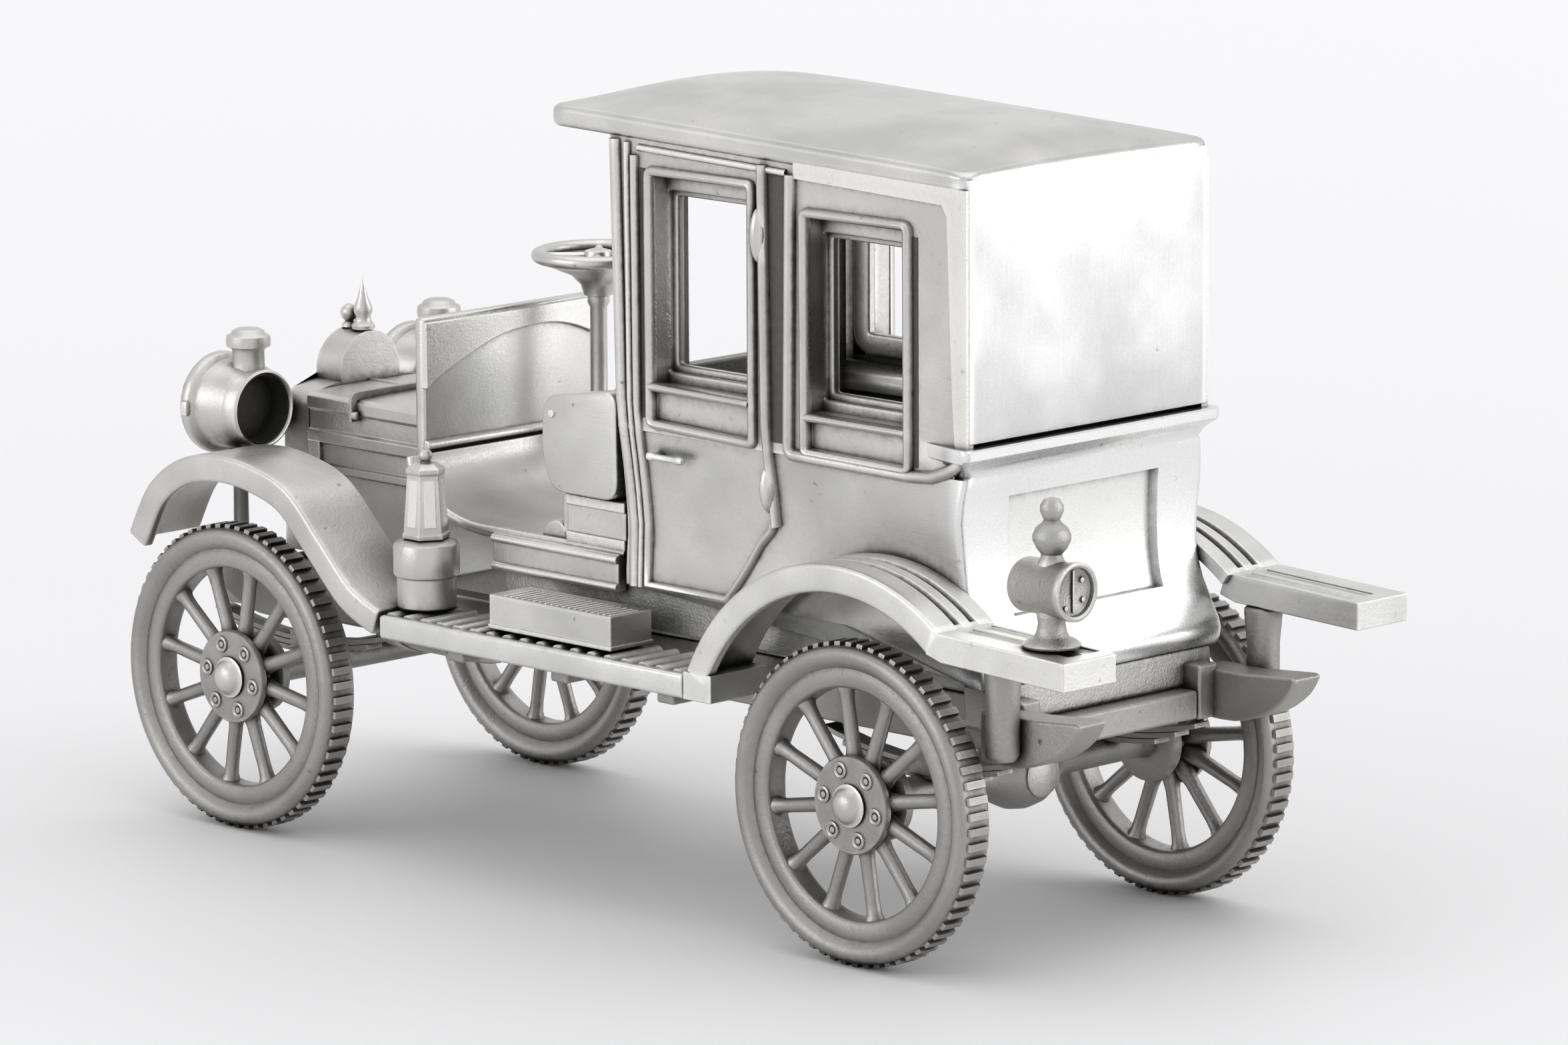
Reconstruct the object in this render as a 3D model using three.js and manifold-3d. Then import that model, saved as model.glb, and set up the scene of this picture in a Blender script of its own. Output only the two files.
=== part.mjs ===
// A diecast collector's car: an early limousine with an open driver's place, cast in pewter.
// Millimetres. +X forward, +Y to the car's left, +Z up. The origin is on the ground, under the
// middle of the car. While the parts are drawn, X is counted from the rear axle.
import * as THREE from "three";
import { mergeVertices } from "three/addons/utils/BufferGeometryUtils.js";
import Module from "manifold-3d";

const wasm = await Module();
wasm.setup();

// ---------------------------------------------------------------- driving dimensions
const fit = 0.06;              // gap between two castings that are seated on each other

const wheelbase = 59.1;
const halfTrack = 14.35;       // middle plane of a wheel from the middle of the car
const tyreRadius = 10.5;
const tyreHalfWidth = 1.4;
const rimOpening = 7.5;        // radius inside the rim
const rimHalfWidth = 0.85;
const spokeCount = 12;
const spokeRadius = 0.5;
const hubRadius = 3.2;
const hubInner = 1.0;          // hub face on the car's side, from the wheel's middle plane
const hubOuter = 1.05;         // hub face on the outside
const pinRadius = 0.8;         // the axle end that the wheel turns on
const pinClearance = 0.1;
const capRadius = 1.55;
const capHeight = 0.85;

const axleTubeRadius = 1.0;
const axleLumpRadius = 2.6;
const drumRadius = 2.7;
const drumThickness = 1.1;
const drumGap = 0.5;           // between the drum and the hub

const deckRise = 6.8;          // top of the running boards above the axles
const boardThickness = 1.85;
const railInner = 7.4;
const railWidth = 1.8;
const railDepth = 3.5;
const railTopRise = 0.2;       // top of the rails above the boards
const rearOverhang = 9.2;      // rear end of the rails behind the rear axle
const frontOverhang = 8.0;     // front end of the rails ahead of the front axle
const scrollLength = 7.0;      // curled end of a rail, beyond its straight part
const scrollOuter = 11.4;
const springHalfLength = 8.4;
const springThickness = 1.2;

const fenderCover = 1.75;      // outer face of a fender beyond the wheel's middle plane
const fenderSheet = 0.9;
const skirtDepth = 1.85;
const fenderGap = 4.25;        // fender's top surface above the tyre
const tailLength = 10.75;      // flat platform behind the rear arch
const tailDrop = 0.45;
const tailWidth = 4.8;

const bodyHalfWidth = 11.04;
const bodyFront = 25.4;        // front of the cabin, from the rear axle
const bodyRear = 6.4;          // rear of the cabin behind the rear axle
const lipDrop = 2.6;           // how far the lip at the rear hangs below the sides
const bodyBaseRise = 3.56;     // underside of the body above the boards
const beltRise = 14.2;         // belt moulding above the boards
const cabinRise = 32.6;        // underside of the roof above the boards
const wallOuterDepth = 1.8;    // side wall down to the inner window frames
const wallInnerDepth = 0.75;   // inner window frames
const rearWall = 1.25;
const roofThickness = 1.2;
const roofCrown = 1.5;
const roofFront = 31.4;
const roofOverhang = 0.3;      // roof beyond the cabin sides
const roofRake = 0.95;         // how much higher the front edge of the roof stands

const panInset = 1.44;           // the floor and pans end this far inside the body's sides
const floorFront = 38.0;       // front end of the flat part of the driver's floor
const floorSheet = 0.65;
const floorRise = 5.3;         // driver's floor above the boards
const toeRise = 4.3;           // how far the toe board curls up
const toeLength = 7.2;

const dashPosition = 47.9;
const dashThickness = 1.0;
const dashHalfWidth = 7.85;
const dashRise = 18.3;         // top of the dashboard above the boards
const bonnetHalfWidth = 6.0;
const bonnetRise = 11.6;       // flat top of the bonnet above the boards
const radiatorThickness = 2.8;
const radiatorAhead = 2.3;     // rear face of the radiator ahead of the front axle
const domeRadius = 2.75;
const domeRise = 12.3;         // centre of the domed header tank above the boards

const lampSpread = 8.9;        // headlamp axis from the middle of the car
const lampRise = 10.5;         // headlamp axis above the boards
const lampAhead = 3.3;         // back of the headlamp ahead of the front axle
const lampRing = 3.55;
const lampDrum = 3.0;

const columnPosition = 43.8;
const columnSpread = 5.0;      // the steering column stands to the right of the middle
const columnRadius = 0.6;
const wheelRise = 21.6;        // steering wheel above the boards
const steeringRadius = 4.56;

// ---------------------------------------------------------------- places worked out from them
const frontAxle = wheelbase;
const axleHeight = tyreRadius;
const deck = axleHeight + deckRise;
const boardBottom = deck - boardThickness;
const railOuter = railInner + railWidth;
const railTop = deck + railTopRise;
const railBottom = railTop - railDepth;
const hubFace = halfTrack + hubOuter;
const boreRadius = (pinRadius + pinClearance) / Math.cos(Math.PI / 32);
const fenderOuter = halfTrack + fenderCover;
const rearFenderInner = bodyHalfWidth + 0.2;
const frontFenderInner = railOuter + 1.0;
const archRadius = tyreRadius + fenderGap;
const archX = 0.6;
const archZ = axleHeight + 0.75;
const archFoot = Math.asin((deck - archZ + 0.1) / archRadius); // angles of the arch's two ends
const archKink = 2.235;
const panHalfWidth = bodyHalfWidth - panInset;
const bodyBase = deck + bodyBaseRise;
const belt = deck + beltRise;
const roofLine = deck + cabinRise;
const wallInner = bodyHalfWidth - wallOuterDepth;
const frameInner = wallInner - wallInnerDepth;
const driverFloor = deck + floorRise;
const driverRear = bodyFront + 0.6;
const dashRear = dashPosition - dashThickness / 2;
const dashFront = dashPosition + dashThickness / 2;
const radiatorRear = frontAxle + radiatorAhead;
const radiatorFront = radiatorRear + radiatorThickness;
const bonnetTop = deck + bonnetRise;
const domeZ = deck + domeRise;
const lampZ = deck + lampRise;
const lampBack = frontAxle + lampAhead;
const steeringZ = deck + wheelRise;

// ---------------------------------------------------------------- shape helpers
const axisX = new THREE.Vector3(1, 0, 0);
const axisY = new THREE.Vector3(0, 1, 0);
const axisZ = new THREE.Vector3(0, 0, 1);

function triangleList(geometry) {
  const bare = geometry.clone();
  bare.deleteAttribute("normal");
  bare.deleteAttribute("uv");
  const merged = mergeVertices(bare, 1e-4);
  const source = merged.index.array;
  const corners = [];
  for (let i = 0; i < source.length; i += 3) {
    const [a, b, c] = [source[i], source[i + 1], source[i + 2]];
    if (a !== b && b !== c && c !== a) corners.push(a, b, c);
  }
  merged.setIndex(corners);
  return merged;
}

function volumeOf(geometry) {
  const at = geometry.attributes.position;
  const corners = geometry.index.array;
  const [a, b, c] = [new THREE.Vector3(), new THREE.Vector3(), new THREE.Vector3()];
  let total = 0;
  for (let i = 0; i < corners.length; i += 3) {
    a.fromBufferAttribute(at, corners[i]);
    b.fromBufferAttribute(at, corners[i + 1]);
    c.fromBufferAttribute(at, corners[i + 2]);
    total += a.dot(b.cross(c)) / 6;
  }
  return total;
}

// A closed geometry with its faces turned outwards, whichever way its outline was drawn.
function facingOut(geometry) {
  const clean = triangleList(geometry);
  if (volumeOf(clean) < 0) {
    const corners = Array.from(clean.index.array);
    for (let i = 0; i < corners.length; i += 3) {
      [corners[i + 1], corners[i + 2]] = [corners[i + 2], corners[i + 1]];
    }
    clean.setIndex(corners);
  }
  return clean;
}

function toSolid(geometry) {
  const clean = facingOut(geometry);
  return new wasm.Manifold(new wasm.Mesh({
    numProp: 3,
    vertProperties: new Float32Array(clean.attributes.position.array),
    triVerts: new Uint32Array(clean.index.array),
  }));
}

function toGeometry(solid) {
  const mesh = solid.getMesh();
  const geometry = new THREE.BufferGeometry();
  geometry.setAttribute("position", new THREE.Float32BufferAttribute(mesh.vertProperties, 3));
  geometry.setIndex(Array.from(mesh.triVerts));
  return geometry;
}

const joined = (...pieces) => toGeometry(pieces.map(toSolid).reduce((all, next) => all.add(next)));
const cut = (piece, ...tools) => toGeometry(
  tools.map(toSolid).reduce((left, tool) => left.subtract(tool), toSolid(piece)));
const common = (a, b) => toGeometry(toSolid(a).intersect(toSolid(b)));

function mirrored(geometry) {
  return facingOut(geometry.clone().scale(1, -1, 1));
}

function box(xLow, xHigh, yLow, yHigh, zLow, zHigh) {
  const geometry = new THREE.BoxGeometry(xHigh - xLow, yHigh - yLow, zHigh - zLow);
  return geometry.translate((xLow + xHigh) / 2, (yLow + yHigh) / 2, (zLow + zHigh) / 2);
}

function outline(points) {
  return new THREE.Shape(points.map(([a, b]) => new THREE.Vector2(a, b)));
}

function extruded(shape, depth, first, second, along, steps) {
  const geometry = new THREE.ExtrudeGeometry(shape, { depth, bevelEnabled: false, curveSegments: steps });
  return geometry.applyMatrix4(new THREE.Matrix4().makeBasis(first, second, along));
}

// A side view (x, z) carried across the car from yLow to yHigh.
function acrossCar(shape, yLow, yHigh, steps = 12) {
  const geometry = extruded(shape, yHigh - yLow, axisX, axisZ, axisY.clone().negate(), steps);
  return geometry.translate(0, yHigh, 0);
}

// A front view (y, z) carried along the car from xLow to xHigh.
function alongCar(shape, xLow, xHigh, steps = 12) {
  return extruded(shape, xHigh - xLow, axisY, axisZ, axisX, steps).translate(xLow, 0, 0);
}

// A profile of [radius, height] pairs turned about the Z axis.
function turned(profile, segments = 24) {
  const geometry = new THREE.LatheGeometry(profile.map(([r, h]) => new THREE.Vector2(r, h)), segments);
  return geometry.rotateX(Math.PI / 2);
}

const turnedAlongX = (profile, segments) => turned(profile, segments).rotateY(Math.PI / 2);
const turnedAlongY = (profile, segments) => turned(profile, segments).rotateX(-Math.PI / 2);

function rod(radius, from, to, sides = 16) {
  const span = new THREE.Vector3().subVectors(to, from);
  const geometry = new THREE.CylinderGeometry(radius, radius, span.length(), sides);
  geometry.applyQuaternion(new THREE.Quaternion().setFromUnitVectors(axisY, span.clone().normalize()));
  return geometry.translate(...from.clone().add(to).multiplyScalar(0.5).toArray());
}

const at = (x, y, z) => new THREE.Vector3(x, y, z);

function ball(radius, x, y, z, detail = 12) {
  return new THREE.SphereGeometry(radius, detail, detail / 2).rotateX(Math.PI / 2).translate(x, y, z);
}

// A strip of even thickness that lies under a side-view curve.
function strip(curve, thickness, steps) {
  const upper = curve.getSpacedPoints(steps);
  const lower = upper.map((point, i) => {
    const before = upper[Math.max(i - 1, 0)];
    const after = upper[Math.min(i + 1, steps)];
    const run = new THREE.Vector2().subVectors(after, before).normalize();
    return new THREE.Vector2(point.x - run.y * thickness, point.y + run.x * thickness);
  });
  return new THREE.Shape([...upper, ...lower.reverse()]);
}

// ---------------------------------------------------------------- finishes
const pewter = (color, roughness) => new THREE.MeshStandardMaterial({ color, roughness, metalness: 1 });
const satin = pewter(0xb9bab6, 0.42);
const dull = pewter(0x8f908c, 0.6);
const bright = pewter(0xd6d7d5, 0.3);
const dark = pewter(0x4a4a48, 0.7);

const car = new THREE.Group();

function add(name, geometry, material) {
  const mesh = new THREE.Mesh(geometry, material);
  mesh.name = name;
  car.add(mesh);
  return mesh;
}

// The left-hand piece is drawn; the right-hand one is its mirror image.
function addPair(name, geometry, material) {
  add(`${name}_left`, geometry, material);
  add(`${name}_right`, mirrored(geometry), material);
}

// ---------------------------------------------------------------- wheels
// Drawn about the Y axis at its middle plane, with +Y the outside of the wheel.
function wheelGeometry() {
  const rimEdge = rimOpening + 1.3;
  const tyre = turnedAlongY([
    [rimOpening, -rimHalfWidth], [rimOpening, rimHalfWidth],
    [rimOpening + 0.6, rimHalfWidth + 0.2], [rimEdge, rimHalfWidth + 0.12],
    [rimEdge + 0.4, tyreHalfWidth], [tyreRadius - 0.6, tyreHalfWidth - 0.08],
    [tyreRadius, 0.95], [tyreRadius, -0.95],
    [tyreRadius - 0.6, 0.08 - tyreHalfWidth], [rimEdge + 0.4, -tyreHalfWidth],
    [rimEdge, -rimHalfWidth - 0.12], [rimOpening + 0.6, -rimHalfWidth - 0.2],
    [rimOpening, -rimHalfWidth],
  ], 40);
  const hub = turnedAlongY([
    [0, -hubInner], [1.9, -hubInner], [hubRadius, 0.35], [hubRadius, hubOuter], [0, hubOuter],
  ], 32);
  const spokes = [];
  for (let i = 0; i < spokeCount; i += 1) {
    const angle = (i / spokeCount) * 2 * Math.PI;
    const point = (r, y) => at(r * Math.cos(angle), y, r * Math.sin(angle));
    spokes.push(rod(spokeRadius, point(1.6, 0.2), point(rimOpening + 0.4, 0), 8));
  }
  const bore = turnedAlongY([[0, -3], [boreRadius, -3], [boreRadius, 3], [0, 3]], 32);
  return cut(joined(tyre, hub, ...spokes), bore);
}

function hubCapGeometry() {
  return turnedAlongY([
    [0, 0], [capRadius, 0], [capRadius, 0.3], [1.15, 0.4], [0.85, 0.78], [0, capHeight],
  ], 16);
}

for (const [end, x] of [["rear", 0], ["front", frontAxle]]) {
  for (const [side, sign] of [["left", 1], ["right", -1]]) {
    const wheel = add(`wheel_${end}_${side}`, wheelGeometry(), satin);
    wheel.position.set(x, sign * halfTrack, axleHeight);
    wheel.rotation.z = sign > 0 ? 0 : Math.PI;
    const cap = add(`hub_cap_${end}_${side}`, hubCapGeometry(), bright);
    cap.position.set(x, sign * (hubFace + fit), axleHeight);
    cap.rotation.z = wheel.rotation.z;
  }
}

// ---------------------------------------------------------------- axles and springs
const drumFace = halfTrack - hubInner - drumGap;
const pinEnd = hubFace - 0.2;

function axleGeometry(withLump) {
  const half = [[pinRadius, -pinEnd], [pinRadius, -drumFace], [drumRadius, -drumFace],
    [drumRadius, drumThickness - drumFace], [axleTubeRadius, drumThickness - drumFace]];
  const other = half.map(([r, h]) => [r, -h]).reverse();
  const tube = turnedAlongY([[0, -pinEnd], ...half, ...other, [0, pinEnd]], 20);
  return withLump ? joined(tube, ball(axleLumpRadius, 0, 0, 0, 16)) : facingOut(tube);
}

add("rear_axle", axleGeometry(true), dull).position.set(0, 0, axleHeight);
add("front_axle", axleGeometry(false), dull).position.set(frontAxle, 0, axleHeight);

// A leaf pack hangs between the rail and the axle tube: high at both ends, low in the middle.
function springGeometry() {
  const lowest = axleTubeRadius + fit;
  const highest = railBottom - axleHeight - fit;
  const bow = new THREE.QuadraticBezierCurve(
    new THREE.Vector2(springHalfLength, highest),
    new THREE.Vector2(0, 2 * (lowest + springThickness) - highest),
    new THREE.Vector2(-springHalfLength, highest),
  );
  return facingOut(acrossCar(strip(bow, springThickness, 10), railInner + 0.2, railOuter - 0.2));
}

for (const [end, x] of [["rear", 0], ["front", frontAxle]]) {
  addPair(`${end}_spring`, springGeometry().translate(x, 0, axleHeight), dull);
}

// ---------------------------------------------------------------- frame
const railStart = -rearOverhang;
const railEnd = frontAxle + frontOverhang;
const bracketHalf = 0.8;
const platformTop = archZ + archRadius * Math.sin(archKink);
const kinkX = archX + archRadius * Math.cos(archKink);
const tailEnd = kinkX - tailLength;

// Curled rail end: flat on top, with a boat-shaped underside that rises to the tip.
function scrollOutline(root, direction, drop) {
  const tip = root + direction * scrollLength;
  const top = railTop - 0.4 - drop;
  return outline([
    [root - direction * 1.6, railBottom], [root + direction * 1.6, railBottom - 0.1 - drop * 0.3],
    [root + direction * 4.2, railBottom + 0.6 - drop * 0.6], [root + direction * 6.1, railBottom + 2.0 - drop],
    [tip, top + 0.2], [tip - direction * 0.4, top + 0.35],
    [root + direction * 2.2, top], [root - direction * 1.6, top + drop],
  ]);
}

function railGeometry() {
  const rail = box(railStart, railEnd, railInner, railOuter, railBottom, railTop);
  const rearScroll = acrossCar(scrollOutline(railStart, -1, 0), railOuter - 0.4, scrollOuter);
  const frontScroll = acrossCar(scrollOutline(railEnd - scrollLength, 1, 0), railOuter - 0.4, scrollOuter - 1);
  const brackets = [18, 28, 38].map((x) => box(
    x - bracketHalf, x + bracketHalf, railOuter - 0.2, fenderOuter - 2, boardBottom - fit - 1, boardBottom - fit));
  const postX = railStart - 1.2;
  const platformBottom = platformTop - skirtDepth - tailDrop;
  const post = rod(1.05, at(postX, 12.2, railBottom + 0.6), at(postX, 12.2, platformBottom - fit), 12);
  return joined(rail, rearScroll, frontScroll, post, ...brackets);
}
addPair("frame_rail", railGeometry(), dull);

add("rear_cross_member", box(
  railStart, railStart + 1.8, fit - railInner, railInner - fit, railBottom, railBottom + 1.9), dull);
add("front_cross_member", box(
  frontAxle + 3, frontAxle + 5, fit - railInner, railInner - fit, railBottom + 0.4, railTop - 0.4), dull);

const panTop = bodyBase - fit;
add("underbody_pan", joined(
  box(-bodyRear + 0.5, driverRear + 0.5, -panHalfWidth, panHalfWidth, railTop + fit, panTop),
  box(driverRear, floorFront, -panHalfWidth, panHalfWidth, railTop + fit, driverFloor - floorSheet - fit),
), dull);

// The sump hangs from the bonnet's underside, between the rails.
const sump = new THREE.Shape();
sump.moveTo(4.6, railTop);
sump.lineTo(-4.6, railTop);
sump.absellipse(0, railBottom, 4.6, railBottom - axleHeight - 0.2, Math.PI, 2 * Math.PI, false);
add("engine_pan", facingOut(alongCar(sump, dashFront + 0.1, frontAxle - 2, 10)), dull);

// ---------------------------------------------------------------- running boards and step boxes
const frontFoot = frontAxle - tyreRadius - 5.3;
const rearFoot = archX + archRadius * Math.cos(archFoot);
const rearBoardEnd = rearFoot + 0.3 + fit;
addPair("running_board", box(
  rearBoardEnd, frontFoot - fit, railOuter + 1.7, fenderOuter, boardBottom, deck), satin);
addPair("step_box", box(
  21.9, 33.4, railOuter + 2.2, fenderOuter - 0.9, deck + fit, deck + 2.4), satin);

// ---------------------------------------------------------------- fenders
function rearFenderGeometry() {
  const top = new THREE.Path();
  top.absarc(archX, archZ, archRadius, archFoot, archKink, false);
  top.lineTo(tailEnd, platformTop - tailDrop);
  const sheet = acrossCar(strip(top, fenderSheet, 30), rearFenderInner, fenderOuter);
  const skirt = acrossCar(strip(top, skirtDepth, 30), fenderOuter - fenderSheet, fenderOuter);
  const tail = acrossCar(outline([
    [kinkX - 1, platformTop - skirtDepth], [kinkX - 1, platformTop - 0.1],
    [tailEnd, platformTop - tailDrop], [tailEnd, platformTop - tailDrop - skirtDepth],
  ]), fenderOuter - tailWidth, fenderOuter);
  const foot = box(rearFoot - 2.1, rearFoot + 0.3, railOuter + 1.7, fenderOuter, boardBottom, deck);
  return joined(sheet, skirt, tail, foot);
}
addPair("rear_fender", rearFenderGeometry(), satin);

function frontFenderGeometry() {
  const crest = axleHeight + tyreRadius + 4.85;
  const top = new THREE.SplineCurve([
    [frontFoot, deck], [frontFoot + 2.8, deck + 1.25], [frontFoot + 5.8, crest - 4.5],
    [frontAxle - 6.9, crest - 1.6], [frontAxle - 3.6, crest - 0.4], [frontAxle + 0.3, crest],
    [frontAxle + 4.2, crest - 0.7], [frontAxle + 7.4, crest - 2.9], [frontAxle + 9.5, crest - 6.4],
  ].map(([x, z]) => new THREE.Vector2(x, z)));
  const sheet = acrossCar(strip(top, -fenderSheet, 26), frontFenderInner, fenderOuter);
  const skirt = acrossCar(strip(top, -skirtDepth, 26), fenderOuter - fenderSheet, fenderOuter);
  return joined(sheet, skirt);
}
addPair("front_fender", frontFenderGeometry(), satin);

// ---------------------------------------------------------------- body
const upperRear = -bodyRear + rearWall + fit;
const seam = belt + 2.2;

// Section of a side wall (y, z): tucked under at the base, belt moulding, straight pillars.
function sideSection() {
  return outline([
    [wallInner, bodyBase], [bodyHalfWidth - 1.0, bodyBase], [bodyHalfWidth - 0.7, bodyBase + 0.8],
    [bodyHalfWidth - 0.9, bodyBase + 2.7], [bodyHalfWidth - 0.75, bodyBase + 5.2],
    [bodyHalfWidth - 0.45, bodyBase + 8.2], [bodyHalfWidth - 0.1, belt - 0.4],
    [bodyHalfWidth + 0.4, belt - 0.2], [bodyHalfWidth + 0.4, belt + 0.6], [bodyHalfWidth, belt + 0.8],
    [bodyHalfWidth, roofLine - fit], [frameInner, roofLine - fit],
    [frameInner, belt + 2.4], [wallInner, belt + 2.4],
  ]);
}

// The rear of the lower body is drawn in at the waist and swells to a lip, which hangs lower than the sides.
const rearCurve = [
  [-bodyRear - 0.25, seam - fit], [-bodyRear - 0.1, belt - 0.3], [-bodyRear + 0.4, bodyBase + 8.2],
  [-bodyRear + 0.5, bodyBase + 5.2], [-bodyRear + 0.1, bodyBase + 2.5], [-bodyRear - 0.9, bodyBase],
  [-bodyRear - 1.6, bodyBase - lipDrop + 1.2], [-bodyRear - 1.5, bodyBase - lipDrop],
];

const windows = [
  { low: 13.0, high: 21.9, innerLow: 13.6, innerHigh: 21.3 },
  { low: -1.0, high: 7.9, innerLow: -0.4, innerHigh: 7.5 },
];
const windowBottom = belt + 3.0;
const windowTop = roofLine - 1.6;

function sideGeometry() {
  const wall = alongCar(sideSection(), -bodyRear - 2, bodyFront + 1);
  const view = acrossCar(outline([
    [bodyFront - 0.5, bodyBase - lipDrop], [bodyFront + 0.5, roofLine - fit], [upperRear, roofLine - fit],
    [upperRear, seam - fit], ...rearCurve,
  ]), frameInner - 1, bodyHalfWidth + 1);
  const holes = windows.flatMap((w) => [
    box(w.low, w.high, wallInner, bodyHalfWidth + 2, windowBottom, windowTop),
    box(w.innerLow, w.innerHigh, frameInner - 1, wallInner + 0.5, windowBottom + 1.0, windowTop - 1.4),
  ]);
  return cut(common(wall, view), ...holes);
}
addPair("body_side", sideGeometry(), satin);

function rearPanelGeometry() {
  const inner = rearCurve.map(([x, z]) => [x + rearWall, z]).reverse();
  const shell = acrossCar(outline([...rearCurve, ...inner]), fit - wallInner, wallInner - fit);
  const moulding = box(-bodyRear - 0.75, -bodyRear, fit - wallInner, wallInner - fit, belt + 1.0, belt + 1.9);
  const recess = box(-bodyRear - 2, -bodyRear + 0.8, -6.97, 6.97, bodyBase + 1.7, bodyBase + 8.7);
  return cut(joined(shell, moulding), recess);
}
add("rear_body_panel", rearPanelGeometry(), bright);

// The roof's top is a pillow: highest in the middle, with straight edges all round.
function pillowGeometry() {
  const across = 12;
  const along = 14;
  const half = bodyHalfWidth + roofOverhang;
  const length = roofFront + bodyRear;
  const rake = (x) => roofRake * (x + bodyRear) / length;
  const slab = new THREE.BoxGeometry(length, 2 * half, roofThickness, along, across, 1);
  slab.translate(length / 2 - bodyRear, 0, roofLine + roofThickness / 2);
  const point = slab.attributes.position;
  for (let i = 0; i < point.count; i += 1) {
    const [x, y, z] = [point.getX(i), point.getY(i), point.getZ(i)];
    const u = 2 * (x + bodyRear) / length - 1;
    const v = y / half;
    const swell = (1 - u ** 8) * (1 - v ** 2);
    const top = z > roofLine + roofThickness / 2;
    point.setZ(i, z + (top ? rake(x) + roofCrown * swell : rake(x) * 0.9));
  }
  return slab;
}

function roofGeometry() {
  const wall = box(-bodyRear, -bodyRear + rearWall, -bodyHalfWidth, bodyHalfWidth, seam, roofLine + 0.5);
  return joined(pillowGeometry(), wall);
}
add("roof_shell", roofGeometry(), bright);

const partitionFront = bodyFront - 0.7;
add("front_partition", cut(
  box(partitionFront - 1.2, partitionFront, fit - frameInner, frameInner - fit, bodyBase + 1, roofLine - fit),
  box(partitionFront - 3, partitionFront + 2, -6.2, 6.2, belt + 3.5, windowTop - 1),
), dull);
add("cabin_floor", box(
  -bodyRear + rearWall + 0.6, partitionFront, fit - wallInner, wallInner - fit, bodyBase, bodyBase + 0.94), dark);

for (const [side, sign] of [["left", 1], ["right", -1]]) {
  const handle = joined(
    box(-1.5, 1.5, 0.35, 0.75, -0.25, 0.25),
    box(1.0, 1.5, 0, 0.5, -0.25, 0.25),
    ball(0.34, -1.4, 0.55, 0, 8),
  );
  const mesh = add(`door_handle_${side}`, sign > 0 ? handle : mirrored(handle), satin);
  mesh.position.set(20.6, sign * (bodyHalfWidth - 0.28 + fit), belt - 1.7);
}

// ---------------------------------------------------------------- driver's place
const toeTop = driverFloor + toeRise;
const toeBack = floorFront + 1.5;

function floorCurve() {
  const run = new THREE.Path();
  run.moveTo(driverRear, driverFloor);
  run.lineTo(toeBack, driverFloor);
  run.absellipse(toeBack, toeTop, toeLength, toeRise, -Math.PI / 2, -0.08, false);
  return run;
}
add("driver_floor", facingOut(acrossCar(strip(floorCurve(), -floorSheet, 26), -panHalfWidth, panHalfWidth)), satin);
addPair("driver_sill", box(
  driverRear, floorFront, panHalfWidth + fit, bodyHalfWidth - 0.2, bodyBase - 0.8, driverFloor), satin);

const seatBottom = driverFloor + fit;
const seatTop = seatBottom + 3.4;
add("driver_seat_base", box(driverRear, 31.6, -panHalfWidth - 0.3, panHalfWidth + 0.3, seatBottom, seatTop), satin);

function seatGeometry() {
  const bottom = seatTop + fit;
  const back = driverRear;
  const panel = new THREE.Shape();
  panel.moveTo(back, bottom);
  panel.lineTo(back + 5.4, bottom);
  panel.quadraticCurveTo(33.0, bottom + 0.3, 33.1, bottom + 2.6);
  panel.lineTo(33.0, bottom + 5.4);
  panel.quadraticCurveTo(32.9, bottom + 6.2, 31.6, bottom + 6.4);
  panel.lineTo(back, bottom + 7.4);
  const left = acrossCar(panel, panHalfWidth - 0.2, panHalfWidth + 1, 4);
  const cushionSide = panHalfWidth - 0.1;
  const cushion = box(back, 32.0, -cushionSide, cushionSide, bottom, bottom + 1.9);
  const rest = box(back, back + 1.5, -cushionSide, cushionSide, bottom, bottom + 7.6);
  return joined(left, mirrored(left), cushion, rest);
}
add("driver_seat", seatGeometry(), satin);

add("seat_bracket", joined(
  box(31.6 + fit, 32.2, panHalfWidth - 0.7, panHalfWidth - 0.1, driverFloor + fit, driverFloor + 3.2),
  acrossCar(halfDisc(33.0, driverFloor + fit, 1.25), panHalfWidth - 0.7, panHalfWidth - 0.1, 8),
), satin);

function halfDisc(x, z, radius) {
  const shape = new THREE.Shape();
  shape.absarc(x, z, radius, 0, Math.PI, false);
  return shape;
}

// ---------------------------------------------------------------- dashboard, bonnet, radiator
add("dashboard", box(
  dashRear, dashFront, -dashHalfWidth, dashHalfWidth, railTop + fit, deck + dashRise), bright);

function mirroredOutline(half) {
  const other = half.map(([y, z]) => [-y, z]).reverse();
  return outline([...half, ...other]);
}

function bonnetGeometry() {
  const section = mirroredOutline([
    [bonnetHalfWidth - 0.3, railTop + fit], [bonnetHalfWidth - 0.3, bonnetTop - 3.3],
    [bonnetHalfWidth, bonnetTop - 3.1], [bonnetHalfWidth, bonnetTop - 2.3],
    [bonnetHalfWidth - 0.25, bonnetTop - 2.2], [bonnetHalfWidth - 0.25, bonnetTop - 0.9],
    [bonnetHalfWidth, bonnetTop - 0.75], [bonnetHalfWidth, bonnetTop - 0.15],
    [bonnetHalfWidth - 0.3, bonnetTop],
  ]);
  return facingOut(alongCar(section, dashFront + fit, radiatorRear - fit));
}
add("bonnet", bonnetGeometry(), satin);

const strapX = frontAxle - 2.7;
function strapGeometry() {
  const outer = bonnetHalfWidth + fit + 0.35;
  const inner = bonnetHalfWidth + fit;
  return cut(
    box(strapX - 0.35, strapX + 0.35, -outer, outer, bonnetTop - 1.6, bonnetTop + fit + 0.3),
    box(strapX - 1, strapX + 1, -inner, inner, bonnetTop - 3, bonnetTop + fit),
  );
}
add("bonnet_strap", strapGeometry(), dark);

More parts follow.
